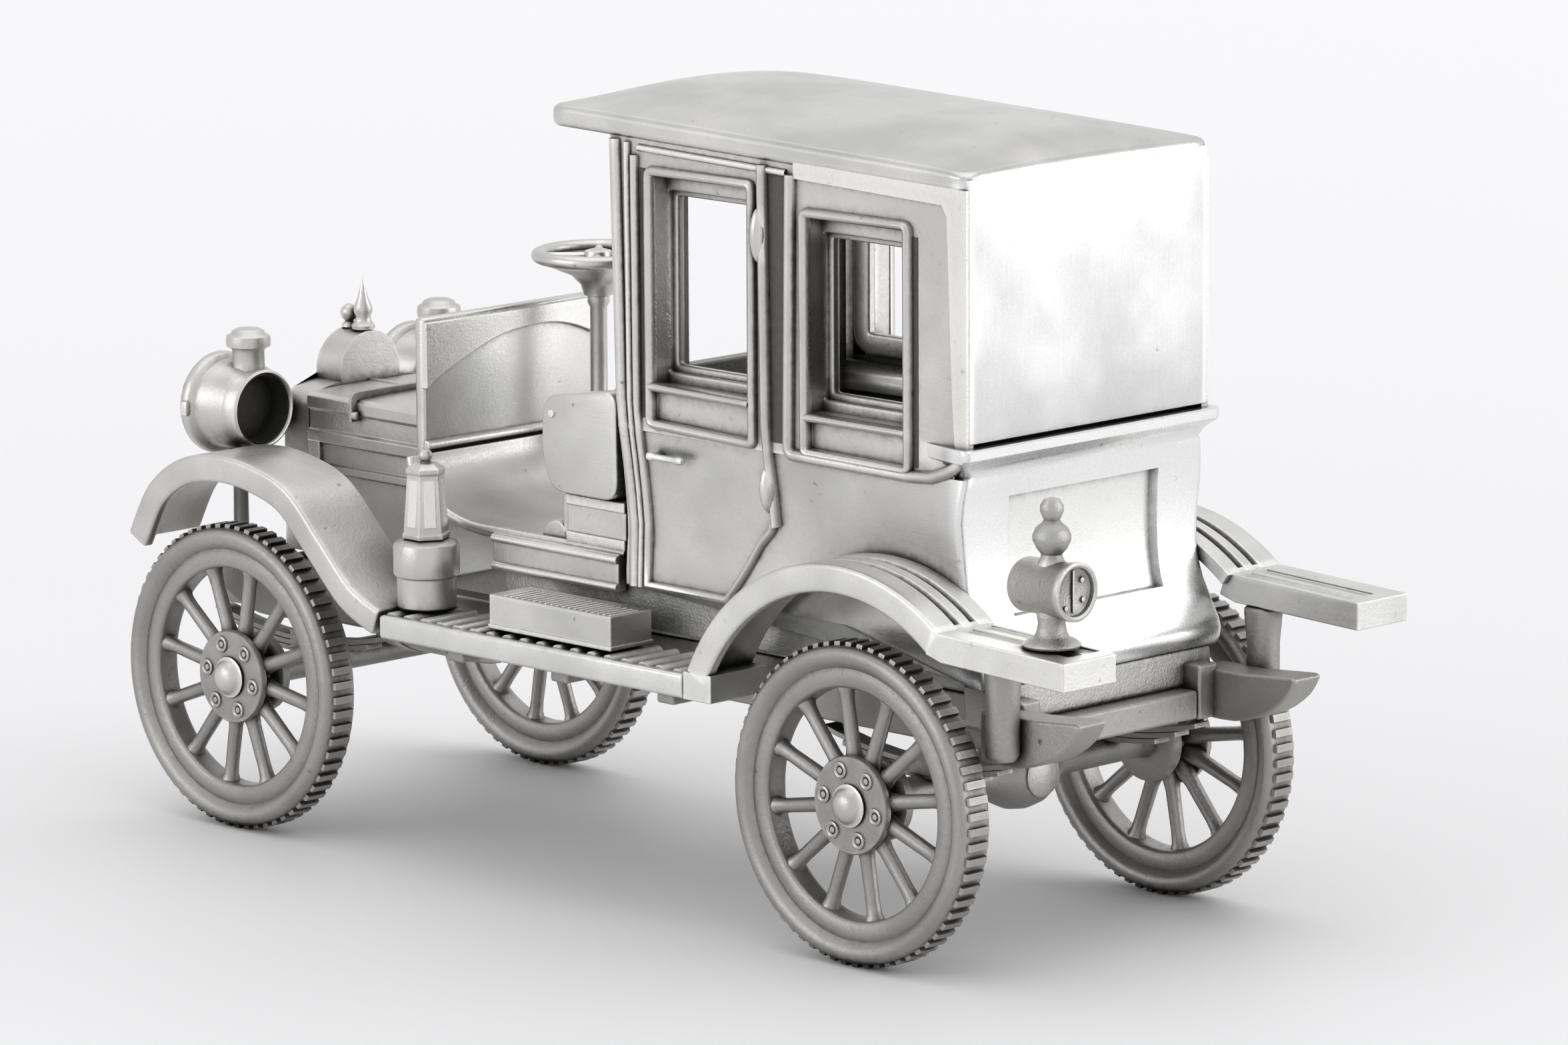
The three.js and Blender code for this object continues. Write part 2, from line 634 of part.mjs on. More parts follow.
function radiatorGeometry() {
  const half = bonnetHalfWidth - 0.25;
  const section = new THREE.Shape();
  const neckAngle = -0.35;
  const neckY = domeRadius * Math.cos(neckAngle) - 0.35;
  section.moveTo(half, railTop + fit);
  section.lineTo(half, bonnetTop - 0.6);
  section.quadraticCurveTo(half, bonnetTop, half - 0.6, bonnetTop);
  section.quadraticCurveTo(neckY, bonnetTop, neckY, domeZ + domeRadius * Math.sin(neckAngle));
  section.absarc(0, domeZ, domeRadius, neckAngle, Math.PI - neckAngle, false);
  section.lineTo(-neckY, domeZ + domeRadius * Math.sin(neckAngle));
  section.quadraticCurveTo(-neckY, bonnetTop, 0.6 - half, bonnetTop);
  section.quadraticCurveTo(-half, bonnetTop, -half, bonnetTop - 0.6);
  section.lineTo(-half, railTop + fit);
  return facingOut(alongCar(section, radiatorRear, radiatorFront, 9));
}
add("radiator", radiatorGeometry(), satin);

const domeTop = domeZ + domeRadius;
add("radiator_cap", facingOut(turned([
  [0, 0], [0.5, 0], [0.32, 0.35], [0.62, 0.8], [0.62, 1.15], [0.35, 1.5], [0, 1.6],
], 12)), satin).position.set(radiatorRear + 2.1, 0, domeTop + fit);
add("cap_finial", facingOut(turned([
  [0, 0], [0.8, 0], [0.75, 0.5], [0.55, 0.9], [0.6, 1.6], [0.3, 2.6], [0.1, 3.6], [0, 3.7],
], 12)), satin).position.set(radiatorRear + 0.68, 0, domeTop + fit);

// ---------------------------------------------------------------- steering
const columnFoot = toeTop - toeRise * Math.sqrt(1 - ((columnPosition + columnRadius - toeBack) / toeLength) ** 2);
const columnTop = steeringZ - 2.75;
add("steering_column", rod(
  columnRadius, at(columnPosition, -columnSpread, columnFoot + fit),
  at(columnPosition, -columnSpread, columnTop), 12), satin);
add("steering_wheel", facingOut(turned([
  [0, -2.7], [1.0, -2.7], [1.15, -1.9], [1.9, -0.9], [3.6, -0.35], [steeringRadius - 0.2, -0.5],
  [steeringRadius, -0.15], [steeringRadius, 0.25], [steeringRadius - 0.3, 0.5],
  [steeringRadius - 0.8, 0.3], [1.4, -0.1], [1.0, 0.35], [0, 0.45],
], 28)), satin).position.set(columnPosition, -columnSpread, steeringZ);

// ---------------------------------------------------------------- lamps
function headlampGeometry() {
  const drum = turnedAlongX([
    [0, 2.6], [2.15, 2.6], [2.15, 0], [2.6, 0], [lampDrum, 1.2], [lampDrum, 3.9],
    [lampRing, 4.0], [lampRing, 4.9], [3.1, 5.15], [0, 5.3],
  ], 28);
  const chimney = turned([
    [0, 2.2], [1.15, 2.2], [1.15, 4.4], [1.5, 4.5], [1.5, 5.1], [1.1, 5.5], [0, 5.5],
  ], 14).translate(1.6, 0, 0);
  return joined(drum, chimney);
}
const lampBody = headlampGeometry().translate(lampBack, lampSpread, lampZ);
addPair("headlamp", lampBody, satin);
const standX = lampBack + 2.6;
addPair("headlamp_bracket", joined(
  rod(0.55, at(standX, lampSpread, railTop + fit), at(standX, lampSpread, lampZ - lampDrum - fit), 10),
  box(standX - 1, standX + 1, lampSpread - 0.7, lampSpread + 0.7, railTop + fit, railTop + 0.6),
), dull);

const lanternX = frontFoot - 1.4;
const lanternY = fenderOuter - 3.2;
function sideLampGeometry() {
  const base = turned([
    [0, 0], [1.3, 0], [1.3, 0.9], [2.05, 1.0], [2.05, 2.4], [2.2, 2.5], [2.2, 4.4], [2.05, 4.7], [0, 4.7],
  ], 18);
  const lantern = turned([[0, 4.6], [1.55, 4.6], [1.3, 9.3], [0.7, 9.9], [0, 9.9]], 6);
  return joined(base, lantern, ball(0.5, 0, 0, 10.2, 8));
}
addPair("side_lamp", sideLampGeometry().translate(lanternX, lanternY, deck + fit), satin);

const tailLampX = tailEnd + 3.9;
const tailLampRise = 3.5;
const tailLampZ = platformTop + tailLampRise;
const standRadius = 1.9;
const standDrop = tailDrop * (kinkX - tailLampX - standRadius) / tailLength;
function tailLampGeometry() {
  const drum = turnedAlongX([
    [0, -2.0], [1.6, -2.0], [1.6, -2.2], [1.93, -2.2], [1.93, 2.4], [1.6, 2.8], [0, 2.9],
  ], 20);
  const stand = turned([
    [0, fit - tailLampRise - standDrop], [standRadius, fit - tailLampRise - standDrop],
    [1.8, -3.3], [1.2, -3.0], [0.85, -2.2], [1.0, -1.6], [0.85, 1.6],
    [0.72, 2.1], [1.15, 2.9], [1.2, 3.4], [0.95, 4.1], [0.5, 4.5], [0.74, 5.1], [0.7, 5.7], [0, 6.15],
  ], 14);
  return joined(drum, stand);
}
add("tail_lamp", tailLampGeometry().translate(tailLampX, fenderOuter - 2.6, tailLampZ), satin);

// ---------------------------------------------------------------- the whole car about its own middle
const rearMost = tailEnd;
const frontMost = frontAxle + tyreRadius;
car.position.x = -(rearMost + frontMost) / 2;

export default car;
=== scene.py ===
# %% [markdown]
# # A pewter model car
# This is a collector's model of an early limousine: a closed cabin behind, an open driver's
# place in front, tall spoked wheels and arched fenders, all cast in pewter and rubbed bright
# on its high places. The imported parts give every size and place. Here each casting gets the
# soft edges, mouldings and tarnish of the real metal.

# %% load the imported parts
import math
import bmesh
import bpy
from mathutils import Matrix, Vector
from mathutils.geometry import interpolate_bezier


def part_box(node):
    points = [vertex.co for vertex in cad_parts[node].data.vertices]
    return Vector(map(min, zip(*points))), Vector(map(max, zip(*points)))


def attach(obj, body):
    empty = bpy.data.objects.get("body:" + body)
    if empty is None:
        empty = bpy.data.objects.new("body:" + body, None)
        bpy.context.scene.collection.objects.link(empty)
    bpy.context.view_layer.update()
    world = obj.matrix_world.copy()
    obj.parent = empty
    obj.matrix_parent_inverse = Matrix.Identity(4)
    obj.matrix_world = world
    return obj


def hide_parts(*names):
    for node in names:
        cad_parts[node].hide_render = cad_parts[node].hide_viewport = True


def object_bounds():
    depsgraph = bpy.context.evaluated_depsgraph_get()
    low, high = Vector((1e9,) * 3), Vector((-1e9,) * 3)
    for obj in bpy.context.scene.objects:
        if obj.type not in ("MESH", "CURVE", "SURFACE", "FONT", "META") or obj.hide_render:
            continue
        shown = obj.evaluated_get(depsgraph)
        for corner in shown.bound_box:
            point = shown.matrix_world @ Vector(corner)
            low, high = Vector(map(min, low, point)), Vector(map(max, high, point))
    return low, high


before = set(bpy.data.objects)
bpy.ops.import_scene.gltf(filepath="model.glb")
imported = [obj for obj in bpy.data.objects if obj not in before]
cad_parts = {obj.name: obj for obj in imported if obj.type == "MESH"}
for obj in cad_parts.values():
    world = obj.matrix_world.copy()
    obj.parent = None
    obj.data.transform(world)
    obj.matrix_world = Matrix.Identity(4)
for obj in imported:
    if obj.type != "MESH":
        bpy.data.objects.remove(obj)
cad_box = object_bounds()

# %% [markdown]
# ## Measuring from the rear axle
# A coachbuilder measures from the rear axle, so the pieces are drawn in millimetres about it
# and moved to their place at the end. One matrix does both: it shrinks millimetres to metres
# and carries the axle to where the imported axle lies.

# %% millimetres about the rear axle
MM = 0.001
low, high = (Vector(corner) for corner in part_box("rear_axle"))
AXLE = Vector(((low.x + high.x) / 2, 0, 0))
TO_ROOM = Matrix.Translation(AXLE) @ Matrix.Scale(MM, 4)


def span(node):
    """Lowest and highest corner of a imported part, in car millimetres."""
    return [(Vector(corner) - AXLE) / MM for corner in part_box(node)]


def middle(node):
    low, high = span(node)
    return (low + high) / 2


WHEELBASE = middle("front_axle").x
AXLE_Z = middle("rear_axle").z
DECK = span("running_board_left")[1].z
SIDE = 11.04                      # outer face of the cabin's side wall
print(f"wheelbase {WHEELBASE:.1f} mm, deck {DECK:.1f} mm above the ground")

# %% [markdown]
# ## Camera
# The car stands on a plain pale floor and is seen from behind its left shoulder. A short lens
# would make its near wheel swell. A long lens from further off keeps the sides nearly
# parallel, as a maker's catalogue shows them.

# %% camera
scene = bpy.context.scene
lens = bpy.data.cameras.new("lens")
lens.lens = 198.98
lens.sensor_width = 36
lens.clip_start = 0.01
lens.clip_end = 20
camera = bpy.data.objects.new("camera", lens)
scene.collection.objects.link(camera)
toward = Vector((0.6948, -0.6957, -0.1820)).normalized()
camera.matrix_world = (
    Matrix.Translation(TO_ROOM @ Vector((-376.2, 397.8, 128.06)))
    @ toward.to_track_quat("-Z", "Y").to_matrix().to_4x4()
    @ Matrix.Rotation(math.radians(-0.25), 4, "Z")
)
scene.camera = camera
scene.view_settings.view_transform = "Standard"

# %% [markdown]
# ## Lights
# Pewter shows what it reflects, so small hard lamps would give it hot dots. Big soft panels
# are drawn as area lights. The one behind the car makes its back shine, the one overhead
# draws the roof and the floor, and the side is left greyer.

# %% lights


def softbox(name, place, aim, wide, tall, watts):
    light = bpy.data.lights.new(name, "AREA")
    light.shape = "RECTANGLE"
    light.size = wide
    light.size_y = tall
    light.energy = watts
    lamp = bpy.data.objects.new(name, light)
    scene.collection.objects.link(lamp)
    turn_to = (Vector(aim) - Vector(place)).to_track_quat("-Z", "Y")
    lamp.matrix_world = Matrix.Translation(place) @ turn_to.to_matrix().to_4x4()
    print(f"{name}: {wide} by {tall} m, {watts} W")


softbox("overhead panel", (0.05, -0.05, 0.62), (0, 0, 0), 0.7, 0.7, 0.9)
softbox("panel behind the car", (-0.62, -0.42, 0.22), (0, 0, 0.03), 0.6, 0.45, 1.5)
softbox("panel at the left", (0.25, 0.75, 0.3), (0, 0, 0.03), 0.6, 0.45, 1.3)

# %% [markdown]
# ## Shader sums written as sums
# A finish is a sum of patterns: casting grain, pits, tarnish in the hollows, polish on the
# edges. The small class below wraps one socket and turns plus, minus and times into Math
# nodes, so that the sums can be written the way they are thought of.

# %% sockets that can be added and multiplied


class Value:
    def __init__(self, bench, socket):
        self.bench = bench
        self.socket = socket

    def sum(self, operation, first, second):
        made = self.bench.node("ShaderNodeMath", {0: first, 1: second}, operation=operation)
        return made.out(0)

    def __add__(self, other):
        return self.sum("ADD", self, other)

    def __radd__(self, other):
        return self.sum("ADD", other, self)

    def __sub__(self, other):
        return self.sum("SUBTRACT", self, other)

    def __rsub__(self, other):
        return self.sum("SUBTRACT", other, self)

    def __mul__(self, other):
        return self.sum("MULTIPLY", self, other)


class Node:
    def __init__(self, bench, made):
        self.bench = bench
        self.made = made

    def out(self, name):
        return Value(self.bench, self.made.outputs[name])


class Bench:
    """A material's node tree, with one method that adds any node."""

    def __init__(self, tree):
        self.tree = tree
        tree.nodes.clear()

    def node(self, kind, inputs=None, **settings):
        made = self.tree.nodes.new(kind)
        for key, value in settings.items():
            setattr(made, key, value)
        for key, value in (inputs or {}).items():
            if isinstance(value, Value):
                self.tree.links.new(value.socket, made.inputs[key])
            else:
                made.inputs[key].default_value = value
        return Node(self, made)

    def ramp(self, value, dark, light):
        """0 below dark, 1 above light, and an even rise between."""
        made = self.node("ShaderNodeMapRange", {0: value, 1: dark, 2: light})
        return made.out(0)

    def blend(self, factor, first, second):
        made = self.node("ShaderNodeMix", {0: factor, 6: first, 7: second}, data_type="RGBA")
        return made.out(2)


# %% [markdown]
# ## The studio's white world
# The room is a smooth white tent that is a little greyer in front of the car, on its left.
# That is what the car's side mirrors, and it keeps the side from looking like paper.

# %% world and floor
world = bpy.data.worlds.new("white tent")
scene.world = world
world.use_nodes = True
tent = Bench(world.node_tree)
direction = tent.node("ShaderNodeTexCoord").out("Generated")
facing = tent.node("ShaderNodeVectorMath", {0: direction, 1: (0.62, 0.76, -0.1)},
                   operation="DOT_PRODUCT")
greyer = tent.ramp(facing.out("Value"), -0.25, 0.95)
shade = tent.blend(greyer, (0.92, 0.92, 0.93, 1), (0.80, 0.80, 0.81, 1))
glow = tent.node("ShaderNodeBackground", {"Color": shade, "Strength": 1.0})
tent.node("ShaderNodeOutputWorld", {"Surface": glow.out(0)})

floor_finish = bpy.data.materials.new("pale floor")
floor_finish.use_nodes = True
ground = Bench(floor_finish.node_tree)
# The floor's colour is painted darker near the car and paler from 0.12 m to 0.5 m away: painted
# shade around the car and a painted fall-off of the light across the floor.
from_car = ground.node("ShaderNodeVectorMath", {
    0: ground.node("ShaderNodeTexCoord").out("Object")}, operation="LENGTH").out("Value")
floor_painted_falloff = ground.blend(ground.ramp(from_car, 0.12, 0.5), (0.78, 0.78, 0.785, 1),
                     (0.92, 0.92, 0.925, 1))
paper = ground.node("ShaderNodeBsdfPrincipled", {
    "Base Color": floor_painted_falloff, "Roughness": 0.55, "Specular IOR Level": 0.2})
ground.node("ShaderNodeOutputMaterial", {"Surface": paper.out(0)})

floor_form = bmesh.new()
bmesh.ops.create_grid(floor_form, x_segments=1, y_segments=1, size=4)
floor_mesh = bpy.data.meshes.new("floor")
floor_form.to_mesh(floor_mesh)
floor_form.free()
floor_mesh.materials.append(floor_finish)
floor = bpy.data.objects.new("floor", floor_mesh)
floor.location.z = cad_box[0][2] - 0.00002
scene.collection.objects.link(floor)

# %% [markdown]
# ## Pewter
# Antiqued pewter is blackened all over and then rubbed back. The black stays where the cloth
# can't reach, so the shader asks how closed-in each spot is, and breaks that up with noise.
# The rubbed edges turn paler and smoother. Fine grain comes from the mould, and pits are
# where gas was trapped. Painted images could give all this, but a recipe of patterns fits
# every piece at any size, so one function makes each finish with its own numbers.

# %% the pewter recipe


HOLLOW_REACH, CORNER_REACH, EDGE_REACH = 0.0026, 0.0008, 0.0005
PAINTED_HIGHLIGHT = (0.80, 0.80, 0.80, 1)
TARNISHED = (0.035, 0.033, 0.030, 1)
PIT_FLOOR = (0.06, 0.058, 0.055, 1)
HIGHLIGHT_BLUR = 0.0006


def pewter(name, metal, rough, tarnish, brush=None, grain_depth=0.9, pit_count=0.35,
           painted_highlight_behind=None):
    finish = bpy.data.materials.new(name)
    finish.use_nodes = True
    b = Bench(finish.node_tree)
    spot = b.node("ShaderNodeTexCoord").out("Object")
    spot = b.node("ShaderNodeMapping", {"Vector": spot, "Scale": (1000, 1000, 1000)}).out(0)

    def noise(scale, detail, place=spot):
        return b.node("ShaderNodeTexNoise", {
            "Vector": place, "Scale": scale, "Detail": detail, "Roughness": 0.6}).out("Fac")

    grain = noise(5.0, 4)
    sand = noise(1.7, 3)
    cloud = noise(0.16, 2)
    cell = b.node("ShaderNodeTexVoronoi", {"Vector": spot, "Scale": 0.62}).out("Distance")
    pit = (1 - b.ramp(cell, 0.05, 0.17)) * b.ramp(sand, 0.62 - pit_count * 0.3, 0.72)

    def closeness(reach, samples, inside=False):
        return 1 - b.node("ShaderNodeAmbientOcclusion", {"Distance": reach},
                          samples=samples, inside=inside).out("AO")

    hollow = closeness(HOLLOW_REACH, 6)
    corner = closeness(CORNER_REACH, 6)
    black = b.ramp(hollow * 0.75 + corner * 0.55 + (sand - 0.5) * 0.4 + (cloud - 0.5) * 0.25,
                   0.2, 0.8)
    black = black * tarnish
    rubbed = b.ramp(closeness(EDGE_REACH, 4, True), 0.35, 0.8) * (1 - black)

    pale = tuple(min(1.0, channel * 1.35) for channel in metal)
    dim = tuple(channel * 0.8 for channel in metal)
    colour = b.blend(b.ramp(cloud, 0.35, 0.65), (*dim, 1), (*metal, 1))
    colour = b.blend(b.ramp(grain, 0.3, 0.7) * 0.35, colour, (*dim, 1))
    # Behind the given x the colour is painted paler: a painted highlight on the back, which faces
    # the lamp behind the car. The roughness is lowered there as well.
    if painted_highlight_behind is not None:
        edge = AXLE.x + painted_highlight_behind * MM
        apart = b.node("ShaderNodeSeparateXYZ", {0: b.node("ShaderNodeTexCoord").out("Object")})
        back_highlight = 1 - b.ramp(apart.out("X"), edge - HIGHLIGHT_BLUR, edge + HIGHLIGHT_BLUR)
        colour = b.blend(back_highlight, colour, PAINTED_HIGHLIGHT)
        rough = rough - back_highlight * 0.12
    colour = b.blend(rubbed * 0.7, colour, (*pale, 1))
    colour = b.blend(black, colour, TARNISHED)
    colour = b.blend(pit * 0.75, colour, PIT_FLOOR)

    roughness = rough + black * 0.25 + (grain - 0.5) * 0.22 + (cloud - 0.5) * 0.15 - rubbed * 0.08
    height = grain * grain_depth + sand * 0.8 * grain_depth - pit * 1.6
    if brush:
        stroke = b.node("ShaderNodeMapping", {"Vector": spot, "Scale": brush}).out(0)
        lines = noise(1.0, 3, stroke)
        height = height * 0.35 + lines * 0.45
        roughness = roughness + (lines - 0.5) * 0.2
    bump = b.node("ShaderNodeBump", {"Strength": 0.6, "Distance": 0.00003, "Height": height}).out(0)
    metal_skin = b.node("ShaderNodeBsdfPrincipled", {
        "Base Color": colour, "Metallic": 1.0, "Roughness": roughness, "Normal": bump})
    b.node("ShaderNodeOutputMaterial", {"Surface": metal_skin.out(0)})
    return finish

# %% [markdown]
# ## The finishes
# One metal can look like several. The sides are satin, the frame was left as it came from the
# mould, and the wheels kept more of their dark wash. The back, and the tops of the rear fenders
# and boards, are painted paler: a painted highlight where they face the lamps. Each could be
# its own shader. One recipe with other numbers keeps them looking like one casting.

# %% the finishes
satin = pewter("satin pewter", (0.66, 0.65, 0.63), 0.38, 0.97)
worn = pewter("dark-washed pewter", (0.40, 0.393, 0.38), 0.42, 1.0, grain_depth=1.4)
# A paler copy of the satin for the rear fenders and the running boards: their tops face the lamps
# above and at the left, and the extra paleness is a painted highlight.
pale = pewter("pewter painted paler on lit tops", (0.78, 0.775, 0.755), 0.36, 0.97)
smooth = pewter("rubbed pewter", (0.67, 0.665, 0.65), 0.34, 0.9, brush=(0.25, 9, 9), pit_count=0.2)
# Brushed and smooth pewter. On the door grips its paleness is real polish; on the back casting it
# is a painted highlight where the back faces the lamp behind the car.
bright = pewter("burnished pewter", (0.80, 0.80, 0.80), 0.27, 0.85, brush=(9, 9, 0.3),
                grain_depth=0.4, pit_count=0.1)
dull = pewter("dull pewter", (0.42, 0.415, 0.40), 0.50, 1.0, grain_depth=1.6)
# Blackened pewter for the never-rubbed cabin and channels; in the headlamp hollows it is painted
# shade.
dark = pewter("blackened pewter", (0.10, 0.098, 0.095), 0.6, 1.0)
rough_cast = pewter("rough-cast pewter", (0.52, 0.515, 0.50), 0.44, 1.0, grain_depth=2.6,
                    pit_count=0.7)
# A copy of the satin whose back is painted paler, as a painted highlight.
pewter_lit_back = pewter("pewter painted paler at the lit back", (0.64, 0.635, 0.62), 0.38, 0.95,
                     brush=(2, 9, 9), grain_depth=0.5, pit_count=0.2, painted_highlight_behind=-5.2)
SLOT = {finish: "cast_satin" for finish in (satin, worn, pale, smooth, rough_cast)}
SLOT |= {bright: "cast_bright", pewter_lit_back: "cast_bright", dull: "cast_dull", dark: "cast_dark"}
print(len(SLOT), "finishes:", ", ".join(finish.name for finish in SLOT))

# %% [markdown]
# ## Ways of shaping
# Most castings are one of four things: an outline with thickness, a profile turned on a
# lathe, a ring carried along a path, or a block. A few helpers make those with bmesh
# operators. Each gives back a bmesh in car millimetres.

# %% outlines with thickness


def soften(points, radius, steps=3, closed=True):
    """Rounds the corners of a drawn line. Works on points of two or three numbers."""
    points = [Vector(point) for point in points]
    count = len(points)
    made = []
    for i, corner in enumerate(points):
        if not closed and i in (0, count - 1):
            made.append(corner)
            continue
        before, after = points[i - 1], points[(i + 1) % count]
        cut_in = min(radius, (before - corner).length * 0.45)
        cut_out = min(radius, (after - corner).length * 0.45)
        start = corner + (before - corner).normalized() * cut_in
        end = corner + (after - corner).normalized() * cut_out
        for k in range(steps + 1):
            t = k / steps
            made.append(start * (1 - t) ** 2 + corner * 2 * t * (1 - t) + end * t ** 2)
    return made


def flowing(points, steps=4):
    """A smooth curve through the given points."""
    points = [Vector(point) for point in points]
    made = [points[0]]
    for i in range(len(points) - 1):
        here, there = points[i], points[i + 1]
        before = points[i - 1] if i else here
        after = points[i + 2] if i + 2 < len(points) else there
        handle_a = here + (there - before) / 6
        handle_b = there - (after - here) / 6
        made += interpolate_bezier(here, handle_a, handle_b, there, steps + 1)[1:]
    return made


PLACES = {
    "x": lambda a, b, depth: (depth, a, b),
    "y": lambda a, b, depth: (a, depth, b),
    "z": lambda a, b, depth: (a, b, depth),
}


def slab(points, low, high, axis="y"):
    """An outline given thickness along an axis, from low to high."""
    bm = bmesh.new()
    place = PLACES[axis]
    face = bm.faces.new([bm.verts.new(place(a, b, low)) for a, b in points])
    grown = bmesh.ops.extrude_face_region(bm, geom=[face])["geom"]
    moved = [item for item in grown if isinstance(item, bmesh.types.BMVert)]
    bmesh.ops.translate(bm, vec=Vector(place(0, 0, high - low)), verts=moved)
    return bm


def block(low, high):
    low, high = Vector(low), Vector(high)
    bm = bmesh.new()
    size = Matrix.Diagonal((*(high - low), 1))
    bmesh.ops.create_cube(bm, size=1, matrix=Matrix.Translation((low + high) / 2) @ size)
    return bm


SQUARE_TO = {"x": Vector((1, 0, 0)), "y": Vector((0, 1, 0)), "z": Vector((0, 0, 1))}


def cut(bm, axis, places):
    """Cuts every face along planes that stand square to an axis."""
    for place in places:
        bmesh.ops.bisect_plane(bm, geom=[*bm.verts, *bm.edges, *bm.faces],
                               plane_co=SQUARE_TO[axis] * place, plane_no=SQUARE_TO[axis])


def chamfer(bm, width, steps=3):
    bmesh.ops.bevel(bm, geom=bm.edges[:], offset=width, segments=steps, profile=0.5,
                    affect="EDGES", material=-1, clamp_overlap=True)
    return bm


# %% [markdown]
# ## Turned shapes, and rings carried along a path
# Wheels, lamps and posts are round, and beads and fenders keep one cross-section all the way.
# Both could be curve objects. Spinning and extruding in bmesh leaves plain closed meshes,
# which can be joined and bevelled at once.

# %% turned and carried shapes


def turn(profile, steps=32, axis="z", centre=(0, 0, 0), foot=0.0):
    """A profile of (radius, height above its foot) spun on a lathe whose axis is x, y or z."""
    bm = bmesh.new()
    verts = [bm.verts.new((radius, 0, foot + rise)) for radius, rise in profile]
    edges = [bm.edges.new(pair) for pair in zip(verts, verts[1:])]
    if profile[0][0] > 0 and profile[-1][0] > 0:
        edges.append(bm.edges.new((verts[-1], verts[0])))
    bmesh.ops.spin(bm, geom=verts + edges, cent=(0, 0, 0), axis=(0, 0, 1),
                   angle=2 * math.pi, steps=steps, use_merge=True)
    bmesh.ops.remove_doubles(bm, verts=bm.verts, dist=1e-4)
    swing = {"x": Matrix.Rotation(math.pi / 2, 4, "Y"), "y": Matrix.Rotation(-math.pi / 2, 4, "X"),
             "z": Matrix.Identity(4)}[axis]
    bmesh.ops.transform(bm, matrix=Matrix.Translation(centre) @ swing, verts=bm.verts)
    return bm


def carry(ring, stations, closed=False):
    """Extrudes a closed ring from station to station, and caps the two ends."""
    bm = bmesh.new()
    verts = [bm.verts.new(stations[0] @ Vector((a, b, 0))) for a, b in ring]
    edges = [bm.edges.new((verts[i - 1], verts[i])) for i in range(len(verts))]
    first = list(edges)
    for here, there in zip(stations, stations[1:]):
        grown = bmesh.ops.extrude_edge_only(bm, edges=edges)["geom"]
        verts = {item for item in grown if isinstance(item, bmesh.types.BMVert)}
        edges = [item for item in grown if isinstance(item, bmesh.types.BMEdge)
                 and item.verts[0] in verts and item.verts[1] in verts]
        bmesh.ops.transform(bm, matrix=there @ here.inverted(), verts=list(verts))
    if not closed:
        bmesh.ops.edgeloop_fill(bm, edges=first)
        bmesh.ops.edgeloop_fill(bm, edges=edges)
    bmesh.ops.remove_doubles(bm, verts=bm.verts, dist=1e-4)
    return bm


def sweep(ring, path, outward, closed=False):
    """Carries a ring (across, outward) along a path, mitred at the corners."""
    outward = Vector(outward)
    path = [Vector(point) for point in path]
    stations = []
    for i, point in enumerate(path):
        back = point - path[i - 1] if closed or i else path[1] - point
        ahead = path[(i + 1) % len(path)] - point if closed or i < len(path) - 1 else back
        along = (back.normalized() + ahead.normalized()).normalized()
        mitre = 1 / max(0.5, along.dot(back.normalized()))
        across = outward.cross(along).normalized()
        up = along.cross(across)
        station = Matrix((across * mitre, up, along)).transposed().to_4x4()
        station.translation = point
        stations.append(station)
    if closed:
        stations.append(stations[0])
    return carry(ring, stations, closed)


def bead(path, width=0.55, rise=0.3, outward=(0, 1, 0), closed=False, sunk=0.15):
    """A half-round moulding laid along a path on a wall."""
    arc = [(-math.cos(i * math.pi / 6) * width / 2, math.sin(i * math.pi / 6) * rise)
           for i in range(7)]
    return sweep([*arc, (width / 2, -sunk), (-width / 2, -sunk)], path, outward, closed)


def together(*forms):
    """Puts several bmeshes into the first one."""
    whole = forms[0]
    for form in forms[1:]:
        loose = bpy.data.meshes.new("loose")
        form.to_mesh(loose)
        form.free()
        whole.from_mesh(loose)
        bpy.data.meshes.remove(loose)
    return whole


# %% [markdown]
# ## Setting a piece in place
# `put` finishes a bmesh: right-hand pieces are the left-hand ones scaled by -1 across the
# car, so the normals are worked out again after that. When an edge width is given, a Bevel
# modifier gives the hard edges the small radius that a casting has, and the piece rides on its
# imported body.

# %% put and put_pair


def put(name, bm, finish, stands_for=(), body="car", edge=0.0, steps=2, angle=35, flip=False):
    if flip:
        bmesh.ops.scale(bm, vec=(1, -1, 1), verts=bm.verts)
    bmesh.ops.recalc_face_normals(bm, faces=bm.faces)
    bmesh.ops.transform(bm, matrix=TO_ROOM, verts=bm.verts)
    mesh = bpy.data.meshes.new(name)
    bm.to_mesh(mesh)
    bm.free()
    mesh.materials.append(finish)
    mesh.shade_smooth()
    piece = bpy.data.objects.new(name, mesh)
    scene.collection.objects.link(piece)
    if edge:
        rounding = piece.modifiers.new("cast edges", "BEVEL")
        rounding.width = edge * MM
        rounding.segments = steps
        rounding.limit_method = "ANGLE"
        rounding.angle_limit = math.radians(angle)
        rounding.harden_normals = True
    else:
        mesh.set_sharp_from_angle(angle=math.radians(42))
    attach(piece, body)
    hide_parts(*stands_for)
    print(f"{name}: {len(mesh.polygons)} faces on {body}, for {', '.join(stands_for) or 'looks'}")


def put_pair(name, shape, finish, node=None, **options):
    """The same shape on the left and, mirrored, on the right."""
    for side in ("left", "right"):
        stands_for = (f"{node}_{side}",) if node else ()
        put(f"{name}_{side}", shape(), finish, stands_for, flip=side == "right", **options)


# %% [markdown]
# ## Wheels
# A wheel is one casting: a plump tyre with a rim inside it, twelve round spokes and a hub
# flange with six bolts. The tyre's profile is spun, and every second strip of its tread is
# raised to a lug. A small domed cap closes the hub.

# %% wheel
WHEEL_Y = middle("wheel_rear_left").y
TYRE = (span("wheel_rear_left")[1].z - span("wheel_rear_left")[0].z) / 2
LUGS = 66
SPOKES = 12
BOLTS = 6
BOLT_CIRCLE = 2.32
TREAD_ROOT = 10.24                # radius between the lugs
LUG_TAPER = 0.94                  # a lug's top is a little narrower than its foot


